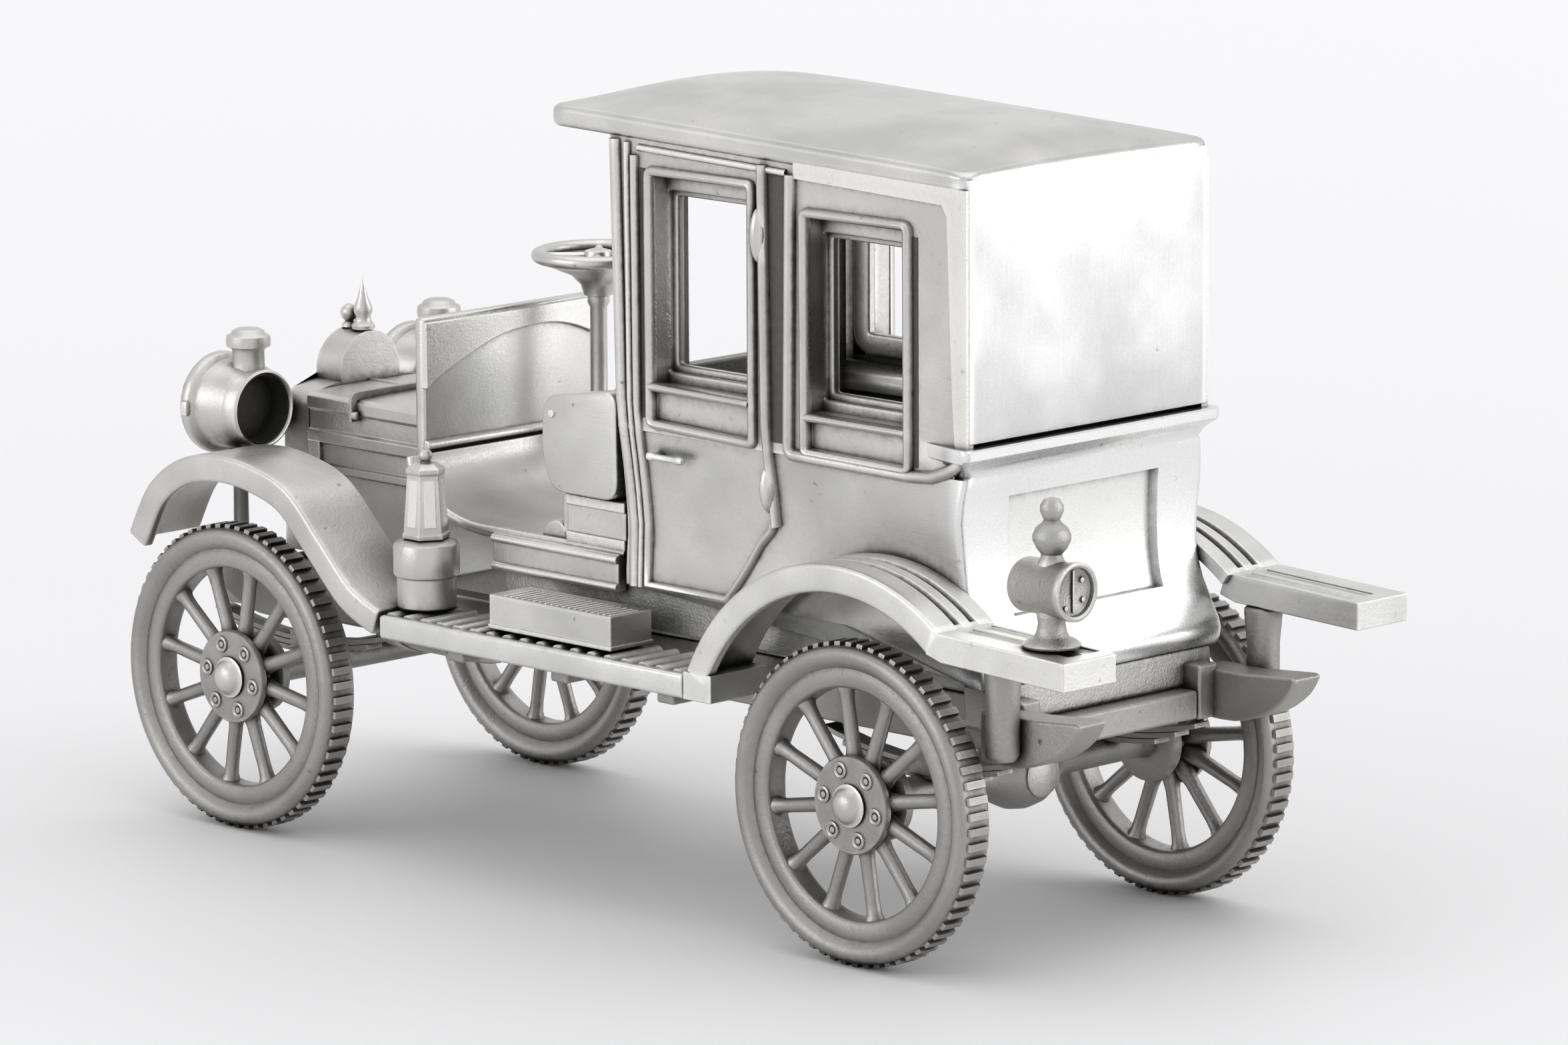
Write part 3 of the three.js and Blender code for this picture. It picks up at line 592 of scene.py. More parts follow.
def tyre():
    half = [
        (7.5, 0.6), (7.56, 0.82), (7.75, 0.96), (8.45, 0.98), (8.66, 0.9), (8.8, 0.86), (8.95, 1.0),
        (9.15, 1.22), (9.45, 1.37), (9.8, 1.38), (10.05, 1.24), (10.2, 1.05), (TREAD_ROOT, 0.86),
    ]
    profile = half + [(radius, -y) for radius, y in reversed(half)]
    bm = turn(profile, steps=2 * LUGS, axis="y")
    tread = [face for face in bm.faces
             if abs(face.calc_center_median().y) < 0.1 and face.calc_center_median().xz.length > 9]
    tread.sort(key=lambda face: math.atan2(*face.calc_center_median().xz))
    for face in bmesh.ops.extrude_discrete_faces(bm, faces=tread[::2])["faces"]:
        outward = face.calc_center_median().normalized()
        bmesh.ops.translate(bm, vec=outward * (TYRE - TREAD_ROOT), verts=face.verts)
        bmesh.ops.scale(bm, vec=(1, LUG_TAPER, 1), verts=face.verts)
    return bm


def spoke(angle):
    profile = [(0, 1.4), (0.66, 1.4), (0.62, 2.9), (0.5, 3.6), (0.47, 6.4), (0.52, 7.1),
               (0.7, 7.6), (0, 7.6)]
    bm = turn(profile, steps=12)
    bmesh.ops.rotate(bm, matrix=Matrix.Rotation(angle, 3, "Y"), cent=(0, 0, 0), verts=bm.verts)
    return bm


def hub():
    flange = turn([(0.92, -1), (1.75, -1), (1.95, -0.9), (2.1, 0.1), (2.5, 0.35), (3.1, 0.42),
                   (3.2, 0.52), (3.2, 0.9), (3.12, 1.0), (0.92, 1.0)], steps=48, axis="y")
    bolts = []
    for i in range(BOLTS):
        angle = math.radians(360 / BOLTS * i + 20)
        centre = (BOLT_CIRCLE * math.sin(angle), 0.98, BOLT_CIRCLE * math.cos(angle))
        bolts.append(turn([(0.24, 0), (0.58, 0), (0.54, 0.13), (0.44, 0.18), (0.32, 0.13),
                           (0.24, 0.02)], steps=16, axis="y", centre=centre))
        bolts.append(turn([(0, -0.1), (0.26, -0.1), (0.2, 0.1), (0, 0.13)], steps=10, axis="y",
                          centre=centre))
    return together(flange, *bolts)


def wheel_form(turned):
    return together(tyre(), hub(),
                    *[spoke(2 * math.pi * i / SPOKES + turned) for i in range(SPOKES)])


def cap_form():
    rise = span("hub_cap_rear_left")[1].y - span("hub_cap_rear_left")[0].y
    return turn([(0, 0), (1.4, 0), (1.4, 0.07), (1.22, 0.14), (1.1, 0.36), (0.92, 0.58),
                 (0.66, rise * 0.88), (0.35, rise * 0.98), (0, rise)], steps=28, axis="y")


for end, along, turned in (("rear", 0, 0.17), ("front", WHEELBASE, 0.36)):
    for side, sign in (("left", 1), ("right", -1)):
        node = f"wheel_{end}_{side}"
        cap_low, cap_high = span(f"hub_cap_{end}_{side}")
        form = wheel_form(turned)
        cap = cap_form()
        bmesh.ops.translate(cap, vec=(0, min(abs(cap_low.y), abs(cap_high.y)) - WHEEL_Y, 0),
                            verts=cap.verts)
        for bm in (form, cap):
            bmesh.ops.translate(bm, vec=(along, WHEEL_Y, AXLE_Z), verts=bm.verts)
        put(f"spoked_{node}", form, worn, (node,), f"{end}_{side}_wheel", flip=sign < 0)
        put(f"domed_cap_{end}_{side}", cap, satin, (f"hub_cap_{end}_{side}",),
            f"{end}_{side}_wheel", flip=sign < 0)

# %% [markdown]
# ## Axles and springs
# Both axles are plain tubes with a drum near each wheel, and the rear one has the round case
# of its gears in the middle. Each spring is a stack of leaves, the longest on top, hung from
# the frame by its two ends.

# %% axles


def axle_form(node, case):
    reach = span(node)[1].y
    half = [(0.8, reach), (0.8, reach - 2.05), (2.4, reach - 2.1), (2.7, reach - 2.3),
            (2.7, reach - 2.9), (2.4, reach - 3.1), (1.1, reach - 3.2), (1.0, reach - 3.6)]
    if case:
        half += [(1.0, 3.6), (1.3, 2.9), (2.0, 2.1), (2.45, 1.1), (2.6, 0)]
    else:
        half += [(1.0, 0.0)]
    tube = turn([(0, reach), *half, *[(r, -y) for r, y in reversed(half[:-1])], (0, -reach)],
                40, "y")
    if case:
        cover = turn([(0, 2.3), (1.5, 2.3), (1.5, 2.62), (1.3, 2.75), (0, 2.8)], 20, "x")
        bmesh.ops.scale(cover, vec=(-0.93, 1, 1), verts=cover.verts)
        tube = together(tube, cover)
    bmesh.ops.translate(tube, vec=(middle(node).x, 0, middle(node).z), verts=tube.verts)
    return tube


put("rear_axle_casting", axle_form("rear_axle", True), dull, ("rear_axle",))
put("front_axle_casting", axle_form("front_axle", False), dull, ("front_axle",))

# %% [markdown]
# ## Springs
# Each spring is three steel leaves, clamped in the middle and bent up at the ends. An array
# would give equal leaves, but every leaf is a fifth shorter than the one above it, so each is
# swept along its own arc.

# %% springs


def spring_form(node):
    low, high = span(node)
    centre = (low.x + high.x) / 2
    leaves = []
    for k in range(3):
        reach = (high.x - low.x) / 2 * (1 - 0.2 * k) - 0.1
        thick = 0.36
        dip = high.z - low.z - 1.2

        def rise(t):
            bend = 1 - ((t * reach) / (high.x - centre)) ** 2
            return high.z - 0.32 - dip * bend - k * (thick + 0.03)

        path = [(centre + t / 6 * reach, 0, rise(t / 6)) for t in range(-6, 7)]
        ring = [(low.y, 0), (high.y, 0), (high.y, thick), (low.y, thick)]
        leaves.append(sweep([(y, z - thick) for y, z in ring], path, (0, 0, 1)))
    clamp = block((centre - 0.9, low.y - 0.05, low.z - 0.02),
                  (centre + 0.9, high.y + 0.05, low.z + 1.3))
    return together(*leaves, clamp)


for end in ("rear", "front"):
    node = f"{end}_spring_left"
    put_pair(f"leaf_spring_{end}", lambda: spring_form(node), dull, f"{end}_spring", edge=0.05)

# %% [markdown]
# ## Frame
# Two straight rails run the length of the car. Each ends behind in a pointed scroll and
# carries a post that holds up the tail of the fender. Brackets reach out under the boards.
# The rails are drawn in side view and given thickness; the bevel softens them.

# %% rails and cross members
RAIL_LOW, RAIL_HIGH = span("frame_rail_left")
RAIL_TOP = DECK + 0.2
RAIL_BASE = RAIL_LOW.z
RAIL_IN, RAIL_OUT = 7.4, 9.2
REAR_END = -9.2


def scroll(root, way, tip):
    reach = abs(tip - root)
    top = RAIL_TOP - 0.4
    keel = [(root - way * 1.6, RAIL_BASE), (root + way * 1.6, RAIL_BASE - 0.05),
            (root + way * 4.2, RAIL_BASE + 0.7), (root + way * 6.1, RAIL_BASE + 2.0),
            (root + way * reach, top + 0.2)]
    return [*flowing(keel, 3), (root + way * (reach - 0.4), top + 0.32), (root + way * 2.2, top),
            (root - way * 1.6, top)]


def rail_form():
    bar = block((REAR_END, RAIL_IN, RAIL_BASE), (WHEELBASE + 8, RAIL_OUT, RAIL_TOP))
    rear = slab(scroll(REAR_END, -1, RAIL_LOW.x), RAIL_OUT - 0.4, 11.4)
    front = slab(scroll(WHEELBASE + 1, 1, WHEELBASE + 8), RAIL_OUT - 0.4, 10.4)
    top = DECK + 3.6
    post = turn([(0, RAIL_BASE + 0.5), (0.8, RAIL_BASE + 0.5), (1.1, RAIL_BASE + 1.0),
                 (1.08, RAIL_BASE + 4.6), (1.25, top - 0.5), (1.25, top), (0, top)],
                20, centre=(REAR_END - 1.2, 12.2, 0))
    brackets = [
        chamfer(block((x - 0.8, RAIL_OUT - 0.2, DECK - 3), (x + 0.8, 14.1, DECK - 1.92)), 0.2)
        for x in (18, 28, 38)]
    return together(bar, rear, front, post, *brackets)


put_pair("side_rail", rail_form, dull, "frame_rail", edge=0.22, steps=3)
for node in ("rear_cross_member", "front_cross_member"):
    put(f"{node}_casting", block(*span(node)), dull, (node,), edge=0.25, steps=3)

# %% [markdown]
# ## Pans under the body
# Behind, the body stands on a rough block, and in front a rounded pan hangs under the engine.
# They were never polished. The block is an outline with thickness and the pan is a half
# circle with thickness, because nothing on them is curved both ways.

# %% pans under the body


def pan_form():
    low, high = span("underbody_pan")
    rear_top = span("cabin_floor")[0].z - 0.08
    outline = [(low.x, low.z), (high.x, low.z), (high.x, high.z), (26.0, high.z), (26.0, rear_top),
               (low.x, rear_top)]
    apron = slab([(low.x - 2.0, 15.9), (low.x - 1.8, 18.4), (low.x + 1, 18.4), (low.x + 1, 15.4),
                  (low.x - 1.2, 15.4)], -10.2, 10.2)
    return together(slab(outline, low.y, high.y), apron)


put("underbody_casting", pan_form(), rough_cast, ("underbody_pan",), edge=0.35, steps=3)


def sump_form():
    low, high = span("engine_pan")
    keel = [(high.y * math.cos(a), RAIL_BASE + (RAIL_BASE - low.z) * math.sin(a))
            for a in (math.pi + i * math.pi / 16 for i in range(17))]
    trough = slab([(-high.y, high.z), *keel, (high.y, high.z)], low.x, high.x, "x")
    ribs = [slab([(-high.y, RAIL_BASE + 0.6), *[(y * 1.02, z - 0.12) for y, z in keel],
                  (high.y, RAIL_BASE + 0.6)], x - 0.3, x + 0.3, "x")
            for x in (low.x + 2, high.x - 2)]
    drain = turn([(0, low.z - 0.1), (0.6, low.z - 0.1), (0.6, low.z + 0.3), (0, low.z + 0.3)], 6,
                 centre=(low.x + 4, 0, 0))
    return together(trough, *ribs, drain)


put("sump_casting", sump_form(), dull, ("engine_pan",), edge=0.12)

# %% [markdown]
# ## Running boards and steps
# A board is a thick plate with a smooth outer edge and ribs across its top for the foot. A
# long shallow box stands on it as a step.

# %% boards


def board_form():
    low, high = span("running_board_left")
    plate = chamfer(block(low, (high.x, high.y - 0.5, high.z - 0.55)), 0.12, 2)
    edge = chamfer(block((low.x, high.y - 0.8, low.z), (high.x, high.y, high.z - 0.25)), 0.25, 4)
    ribs = []
    x = low.x + 0.9
    while x < high.x - 0.6:
        ribs.append(bead([(x, low.y + 0.2, high.z - 0.6), (x, high.y - 0.45, high.z - 0.6)], 1.1,
                         0.58, (0, 0, 1)))
        x += 1.6
    return together(plate, edge, *ribs)


# The boards take the paler copy of the satin, a painted highlight on their lit tops.
put_pair("ribbed_board", board_form, pale, "running_board")


def step_form():
    low, high = span("step_box_left")
    bm = block(low, high)
    top = max(bm.faces, key=lambda face: face.calc_center_median().z)
    bmesh.ops.inset_region(bm, faces=[top], thickness=0.45, depth=0)
    bmesh.ops.translate(bm, vec=(0, 0, -0.14), verts=top.verts)
    skirt = block((low.x - 0.08, low.y - 0.08, low.z), (high.x + 0.08, high.y + 0.08, low.z + 0.35))
    teeth = []
    x = low.x + 0.7
    while x < high.x - 0.6:
        teeth.append(bead([(x, low.y + 0.55, high.z - 0.16), (x, high.y - 0.55, high.z - 0.16)],
                          0.3, 0.1, (0, 0, 1)))
        x += 0.55
    return together(bm, skirt, *teeth)


put_pair("step", step_form, smooth, "step_box", edge=0.2, steps=3)

# %% [markdown]
# ## Fenders
# A fender is a thin arched sheet with a deep band along its outer edge, so its cross-section
# is carried along the side view of the arch. The rear one has two grooves along its crown
# and ends in a flat tail with a shallow tray, where the tail lamp stands.

# %% rear fenders
FENDER_IN, FENDER_OUT = span("rear_fender_left")[0].y, span("rear_fender_left")[1].y
TAIL_END = span("rear_fender_left")[0].x
ARCH = Vector((0.6, AXLE_Z + 0.75))
ARCH_RADIUS = TYRE + 4.25
ARCH_FOOT, KINK = 0.43, 2.235      # angles where the arch starts and where the tail joins it
KINK_POINT = ARCH + ARCH_RADIUS * Vector((math.cos(KINK), math.sin(KINK)))
TAIL_DROP = 0.45
OUTER_STRIP = 1.5                 # the strip along the tail's edge that stays proud


def fender_section(inner, grooves=(), depth=1.85):
    """Cross-section (across, up): sheet, grooves and the deep outer band."""
    floor_painted_falloff, outer = 0.9, FENDER_OUT
    top = [(inner, 0.0)]
    for groove in grooves:
        top += [(groove - 0.3, 0.0), (groove - 0.12, -0.42), (groove + 0.12, -0.42),
                (groove + 0.26, 0.0)]
    top += [(outer - 1.0, 0.0)]
    rim = soften([(outer - 0.6, 0), (outer, 0), (outer, -depth), (outer - floor_painted_falloff, -depth),
                  (outer - floor_painted_falloff, -floor_painted_falloff - 0.25)], 0.3, 3, False)
    return [*top, *rim, (outer - floor_painted_falloff - 0.3, -floor_painted_falloff), (inner, -floor_painted_falloff)]


def along_side(path, section):
    """Carries a cross-section (across, up) along a side view (x, z), standing square to it."""
    points = [Vector((x, 0, z)) for x, z in path]
    way = 1 if points[-1].x > points[0].x else -1
    return sweep([(way * y, z) for y, z in section], points, (0, 0, 1))


def sink_strips(bm, rim, depth):
    """Sinks the two inner strips of the tail's top, each inside its own rim."""
    for face in [face for face in bm.faces if face.normal.z > 0.9 and face.calc_area() > 6
                 and face.calc_center_median().y < FENDER_OUT - OUTER_STRIP]:
        bmesh.ops.inset_individual(bm, faces=[face], thickness=rim, depth=0)
        bmesh.ops.inset_individual(bm, faces=[face], thickness=0.1, depth=-depth)
    return bm


def rear_fender_form():
    turns = 44
    angles = [ARCH_FOOT + (KINK - ARCH_FOOT) * i / turns for i in range(turns + 1)]
    path = [ARCH + ARCH_RADIUS * Vector((math.cos(a), math.sin(a))) for a in angles]
    arch = along_side(path, fender_section(FENDER_IN, (12.55, 13.95)))
    kx, kz = KINK_POINT
    tail = slab([(kx, kz), (TAIL_END, kz - TAIL_DROP), (TAIL_END, kz - TAIL_DROP - 1.85),
                 (kx - 0.2, kz - 1.85), (kx + 1.14, kz - 1.46), (kx + 0.5, kz + 0.25)],
                FENDER_OUT - 4.8, FENDER_OUT)
    bmesh.ops.recalc_face_normals(tail, faces=tail.faces)
    cut(tail, "y", (FENDER_OUT - 3.1, FENDER_OUT - OUTER_STRIP))
    cut(tail, "x", [TAIL_END + 1.0])
    sink_strips(tail, 0.3, 0.2)
    foot_low, foot_high = span("running_board_left")
    foot = block((foot_low.x - 2.6, foot_low.y, foot_low.z),
                 (foot_low.x - 0.06, FENDER_OUT, foot_high.z))
    return together(arch, tail, foot)


# The rear fenders take the paler copy of the satin, a painted highlight on their lit crowns.
put_pair("arched_rear_fender", rear_fender_form, pale, "rear_fender", edge=0.26, steps=3, angle=40)

# %% [markdown]
# ## Front fenders
# The front fender is one long S from the board up over the wheel and down to a free tip. A
# few points give its side view, a smooth curve runs through them, and the cross-section that
# made the rear fender is carried along it without its grooves.

# %% front fenders


def front_fender_form():
    foot = span("running_board_left")[1].x + 0.06
    crest = AXLE_Z + TYRE + 4.85
    top = [(foot, DECK), (foot + 2.8, DECK + 1.25), (foot + 5.8, crest - 4.5),
           (WHEELBASE - 6.9, crest - 1.6), (WHEELBASE - 3.6, crest - 0.4),
           (WHEELBASE + 0.3, crest), (WHEELBASE + 4.2, crest - 0.7),
           (WHEELBASE + 7.4, crest - 2.9), (WHEELBASE + 9.5, crest - 6.4)]
    return along_side(flowing(top, 6), fender_section(10.2))


put_pair("swept_front_fender", front_fender_form, satin, "front_fender", edge=0.18, steps=3,
         angle=40)

# %% [markdown]
# ## The lower body
# Below its belt the body is drawn in at the waist and swells again at the foot, on the sides
# a little and at the back a lot. One U-shaped ring is carried upwards and stretched at each
# height. The back has a sunk panel, so its faces are cut on the panel's lines and inset.

# %% lower body
FRONT = 25.4
LEVELS = [                        # height, half-width, back
    (18.25, 10.0, -7.4), (18.35, 10.1, -7.75), (18.8, 10.2, -7.98), (19.4, 10.25, -8.02),
    (20.0, 10.28, -7.8), (20.8, 10.3, -7.3), (21.7, 10.3, -6.8), (22.4, 10.25, -6.45),
    (23.2, 10.2, -6.2), (24.0, 10.12, -6.03), (25.0, 10.13, -5.92), (26.2, 10.22, -5.86),
    (27.5, 10.36, -5.85), (28.8, 10.52, -5.88), (30.1, 10.72, -5.98), (31.0, 10.84, -6.08),
    (31.55, 10.9, -6.14), (31.7, 10.7, -6.16), (32.15, 10.7, -6.26), (32.5, 10.7, -6.5),
    (32.75, 10.7, -6.85), (32.95, 10.7, -7.0), (33.5, 10.7, -7.02), (33.62, 10.7, -6.9),
]
SIDE_FOOT = 20.75                 # the sides end here; only the lip at the back hangs lower
SUNK_HALF = 6.97                  # half the width of the panel sunk into the back
SUNK_FOOT, SUNK_HEAD = 22.4, 30.1


def skin(z):
    """How far out the side of the body is at a height."""
    for (z0, y0, _), (z1, y1, _) in zip(LEVELS, LEVELS[1:]):
        if z0 <= z <= z1 and z < 31.5:
            return y0 + (y1 - y0) * (z - z0) / (z1 - z0)
    return SIDE


def lower_body_form():
    _, wide, back = LEVELS[0]
    wall = 1.0
    plan = [(FRONT, wide), (6, wide), (back, wide), (back, -wide), (6, -wide), (FRONT, -wide)]
    outer = soften(plan, 0.6, 5, closed=False)
    inner = [(FRONT, -wide + wall), (back + wall, -wide + wall), (back + wall, wide - wall),
             (FRONT, wide - wall)]
    stations = []
    for z, half, rear in LEVELS:
        stretch = Matrix.Diagonal(((rear - FRONT) / (back - FRONT), half / wide, 1, 1))
        stations.append(
            Matrix.Translation((FRONT, 0, z)) @ stretch @ Matrix.Translation((-FRONT, 0, 0)))
    bm = carry([*outer, *inner], stations)
    for vert in bm.verts:
        x, y, z = vert.co
        toward_back = min(1, max(0, (6 - x) / 11))
        fuller = 0.85 * toward_back ** 2 * min(1, max(0, (32.2 - z) / 3))
        fuller += 1.2 * min(1, max(0, (-4.8 - x) / 1.4)) * min(1, max(0, (z - 31.7) / 1.1))
        if z > 31.6:
            fuller -= 1.6 * min(1, max(0, (x + 4.2) / 1.0))
        vert.co.y += fuller if y > 0 else -fuller
        if z < SIDE_FOOT:
            hang = min(1, max(0, (-5.2 - x) / 1.2))
            vert.co.z = SIDE_FOOT + (z - SIDE_FOOT) * (0.02 + 0.98 * hang)
    cut(bm, "y", (-SUNK_HALF, SUNK_HALF))
    bmesh.ops.recalc_face_normals(bm, faces=bm.faces)
    sunk = []
    for face in bm.faces:
        centre = face.calc_center_median()
        if face.normal.x < -0.7 and abs(centre.y) < SUNK_HALF and SUNK_FOOT < centre.z < SUNK_HEAD:
            sunk.append(face)
    bmesh.ops.inset_region(bm, faces=sunk, thickness=0.2, depth=-0.55, use_even_offset=True)
    return bm


# The back of the lower body is painted paler: a painted highlight where it faces the lamp behind.
put("lower_body_casting", lower_body_form(), pewter_lit_back, ("rear_body_panel",), edge=0.12, steps=3,
    angle=32)

# %% [markdown]
# ## The cabin's side walls
# Above the belt each side is a flat plate with two windows. The plate starts as one face. It
# is cut along the window lines, the window faces are taken out, and Solidify's operator
# gives the rest its thickness. A thinner frame sits inside each opening.

# %% side walls
WALL_FOOT, WALL_HEAD = 31.3, span("body_side_left")[1].z
WALL_BACK = -5.09
WINDOW_CORNER = 1.0
OPENINGS = [(13.0, 21.9, 34.5, 48.2), (-0.9, 7.75, 34.3, 46.9)]
SILLS = [(13.0, 21.9, 32.0, 34.0), (-0.9, 7.75, 31.9, 33.7)]


def faces_inside(bm, areas):
    found = []
    for face in bm.faces:
        centre = face.calc_center_median()
        if any(a < centre.x < b and c < centre.z < d for a, b, c, d in areas):
            found.append(face)
    return found


def wall_form():
    bm = bmesh.new()
    corners = [(WALL_BACK, WALL_FOOT), (25.3, WALL_FOOT), (25.9, WALL_HEAD + 0.95),
               (WALL_BACK, WALL_HEAD + 0.3)]
    bm.faces.new([bm.verts.new((x, SIDE, z)) for x, z in corners])
    cut(bm, "x", sorted({x for area in OPENINGS for x in area[:2]}))
    cut(bm, "z", sorted({z for area in OPENINGS + SILLS for z in area[2:]}))
    bmesh.ops.delete(bm, geom=faces_inside(bm, OPENINGS), context="FACES")
    bmesh.ops.recalc_face_normals(bm, faces=bm.faces)
    if bm.faces[:][0].normal.y < 0:
        bmesh.ops.reverse_faces(bm, faces=bm.faces)
    for area in SILLS:
        bmesh.ops.inset_region(bm, faces=faces_inside(bm, [area]), thickness=0.12, depth=-0.22)
    bmesh.ops.solidify(bm, geom=bm.faces, thickness=1.8)
    return bm


put_pair("windowed_wall", wall_form, satin, "body_side", edge=0.12, steps=2)


def window_frame_form():
    rings = []
    for low_x, high_x, low_z, high_z in OPENINGS:
        hole = [(low_x + 0.6, low_z + 1.1), (high_x - 0.35, low_z + 1.1),
                (high_x - 0.35, high_z - 1.5), (low_x + 0.6, high_z - 1.5)]
        for grow, y, deep, wide in ((0.75, 8.86, 0.74, 1.5), (0.95, 9.5, 0.5, 1.1)):
            spread = [(x + (grow if i in (1, 2) else -grow), z + (grow if i > 1 else -grow))
                      for i, (x, z) in enumerate(hole)]
            path = [(x, y, z) for x, z in soften(spread, WINDOW_CORNER, 5)]
            section = soften([(-wide / 2, -deep / 2), (wide / 2, -deep / 2), (wide / 2, deep / 2),
                              (-wide / 2, deep / 2)], 0.22, 3)
            rings.append(sweep(section, path, (0, 1, 0), closed=True))
    return together(*rings)


put_pair("window_frame", window_frame_form, satin)

# %% [markdown]
# ## Mouldings
# Half-round beads outline the door, the windows and the belt. Each is a small half-round ring
# carried along a line on the wall. The hinge pillar has two swellings where the door's
# hinges are.

# %% beads on the sides


def on_wall(points):
    return [(x, skin(z), z) for x, z in points]


def down(x_top, x_foot, z_top, z_foot, steps=14):
    """A line down the wall that follows its curve."""
    return [(x_top + (x_foot - x_top) * i / steps, z_top + (z_foot - z_top) * i / steps)
            for i in range(steps + 1)]


def swelling(x, z, half):
    bm = bmesh.new()
    bmesh.ops.create_uvsphere(bm, u_segments=16, v_segments=12, radius=1)
    size = Matrix.Diagonal((0.6, 0.95, half, 1))
    bmesh.ops.transform(bm, matrix=Matrix.Translation((x, skin(z) + 0.05, z)) @ size,
                        verts=bm.verts)
    return bm


def mouldings_form():
    foot = SIDE_FOOT
    forms = [
        bead(on_wall(down(25.35, 24.5, 50.3, foot)), 0.95, 0.42),
        bead(on_wall(down(24.2, 23.9, 50.2, foot)), 0.55, 0.36),
        bead(on_wall(down(11.75, 11.35, 49.9, 26.4)), 0.72, 0.62),
        swelling(11.95, 45.35, 1.9), swelling(11.65, 28.9, 1.7),
    ]
    door = down(23.5, 23.25, 49.4, 20.95) + [(18, 20.95)]
    arch = [(15.9, 20.95), (14.5, 22.7), (13.0, 24.9), (11.9, 26.0), (11.35, 27.2)]
    forms.append(bead(on_wall(door + flowing(arch, 4)), 0.62, 0.45))
    window = soften([(12.75, 31.65), (22.15, 31.9), (22.2, 48.5), (12.75, 48.5)], 0.4, 3)
    forms.append(bead(on_wall(window), 0.68, 0.5, closed=True))
    forms.append(bead(on_wall([(12.9, 34.25), (22.0, 34.35)]), 0.6, 0.55))
    rear_window = soften([(-1.2, 31.6), (8.0, 31.7), (8.05, 47.2), (-1.15, 47.25)], 0.4, 3)
    forms.append(bead(on_wall(rear_window), 0.68, 0.55, closed=True))
    forms.append(bead(on_wall([(-1.1, 34.0), (7.9, 34.0)]), 0.6, 0.55))
    belt = (soften([(9.25, 49.5), (9.5, 31.4), (-1.5, 31.3)], 0.6, 4, False)
            + flowing([(-3.2, 31.45), (-4.9, 32.1), (-6.1, 33.0)], 5))
    forms.append(bead([(p[0], SIDE, p[1]) for p in belt], 0.85, 0.55, sunk=0.4))
    forms.append(bead(on_wall([(9.7, 49.55), (23.2, 49.9)]), 0.5, 0.25))
    shoulder = [(-6.35, 33.3), (-5.35, 33.5), (-5.1, 37.0), (-4.65, 48.2), (-4.2, 48.9),
                (8.9, 49.3), (8.9, 50.4), (-6.35, 50.0)]
    forms.append(slab(shoulder, SIDE - 0.4, SIDE + 0.24))
    return together(*forms)


put_pair("side_mouldings", mouldings_form, satin)

# %% [markdown]
# ## Blackened channels
# The cloth never reached between the pillar beads, so those strips stay black. Tarnish in the
# shader is too soft for such a sharp border. Thin dark strips laid on the wall give it.

# %% blackened channels


def channels_form():
    strips = [((9.75, 32.0), (11.35, 49.3)), ((-1.95, 31.9), (-1.45, 46.6)),
              ((22.6, 32.2), (23.1, 48.6))]
    return together(*[
        block((a[0], SIDE - 0.3, a[1]), (b[0], SIDE + 0.03, b[1])) for a, b in strips])


put_pair("blackened_channels", channels_form, dark)

# %% [markdown]
# ## Door handles
# A door handle is a little bar on a shank, cast in one with the door. At this size a turned
# bar with thicker ends is enough, and it is brighter, since fingers polish it.

# %% door handles


def handle_form():
    low, high = span("door_handle_left")
    z = (low.z + high.z) / 2
    grip = turn([(0, low.x), (0.22, low.x + 0.1), (0.3, low.x + 0.45), (0.22, low.x + 0.9),
                 (0.2, high.x - 0.6), (0.3, high.x - 0.3), (0.28, high.x), (0, high.x)],
                14, "x", (0, high.y - 0.32, z))
    shank = block((high.x - 0.7, skin(z) - 0.2, z - 0.2), (high.x - 0.2, high.y - 0.3, z + 0.2))
    return together(grip, shank)


put_pair("door_grip", handle_form, bright, "door_handle")

# %% [markdown]
# ## Roof and back
# The roof is a thin pillow: straight at its edges and highest in the middle. A grid is lifted
# by that rule and given a flat underside. The upper back is cast with it and swells a little.

# %% roof
ROOF_LOW, ROOF_HIGH = span("roof_shell")
ROOF_LINE = WALL_HEAD + 0.06
ROOF_THICK, ROOF_RAKE = 1.2, 0.95
ROOF_HALF = ROOF_HIGH.y


def roof_form():
    bm = bmesh.new()
    length = ROOF_HIGH.x - ROOF_LOW.x
    centre_x = (ROOF_HIGH.x + ROOF_LOW.x) / 2
    bmesh.ops.create_grid(bm, x_segments=48, y_segments=30, size=1)
    corner = 0.9
    crown = ROOF_HIGH.z - (ROOF_LINE + ROOF_THICK + ROOF_RAKE * 0.79)
    for vert in bm.verts:
        u, v = vert.co.x, vert.co.y
        x, y = u * length / 2, v * ROOF_HALF
        over = Vector((max(abs(x) - length / 2 + corner, 0), max(abs(y) - ROOF_HALF + corner, 0)))
        if over.x > 0 and over.y > 0:
            pull = over * (max(over.x, over.y) / over.length)
            x = math.copysign(length / 2 - corner + pull.x, x)
            y = math.copysign(ROOF_HALF - corner + pull.y, y)
        swell = (1 - abs(u) ** 8) * (1 - v * v)
        vert.co = (centre_x + x, y,
                   ROOF_LINE + ROOF_THICK + ROOF_RAKE * (u + 1) / 2 + crown * swell)
    grown = bmesh.ops.extrude_face_region(bm, geom=bm.faces[:], use_keep_orig=True)["geom"]
    for item in grown:
        if isinstance(item, bmesh.types.BMVert):
            item.co.z = ROOF_LINE - 0.15 + ROOF_RAKE * 0.9 * (item.co.x - ROOF_LOW.x) / length
    return bm


put("pillow_roof", roof_form(), smooth, ("roof_shell",), edge=0.45, steps=4, angle=40)


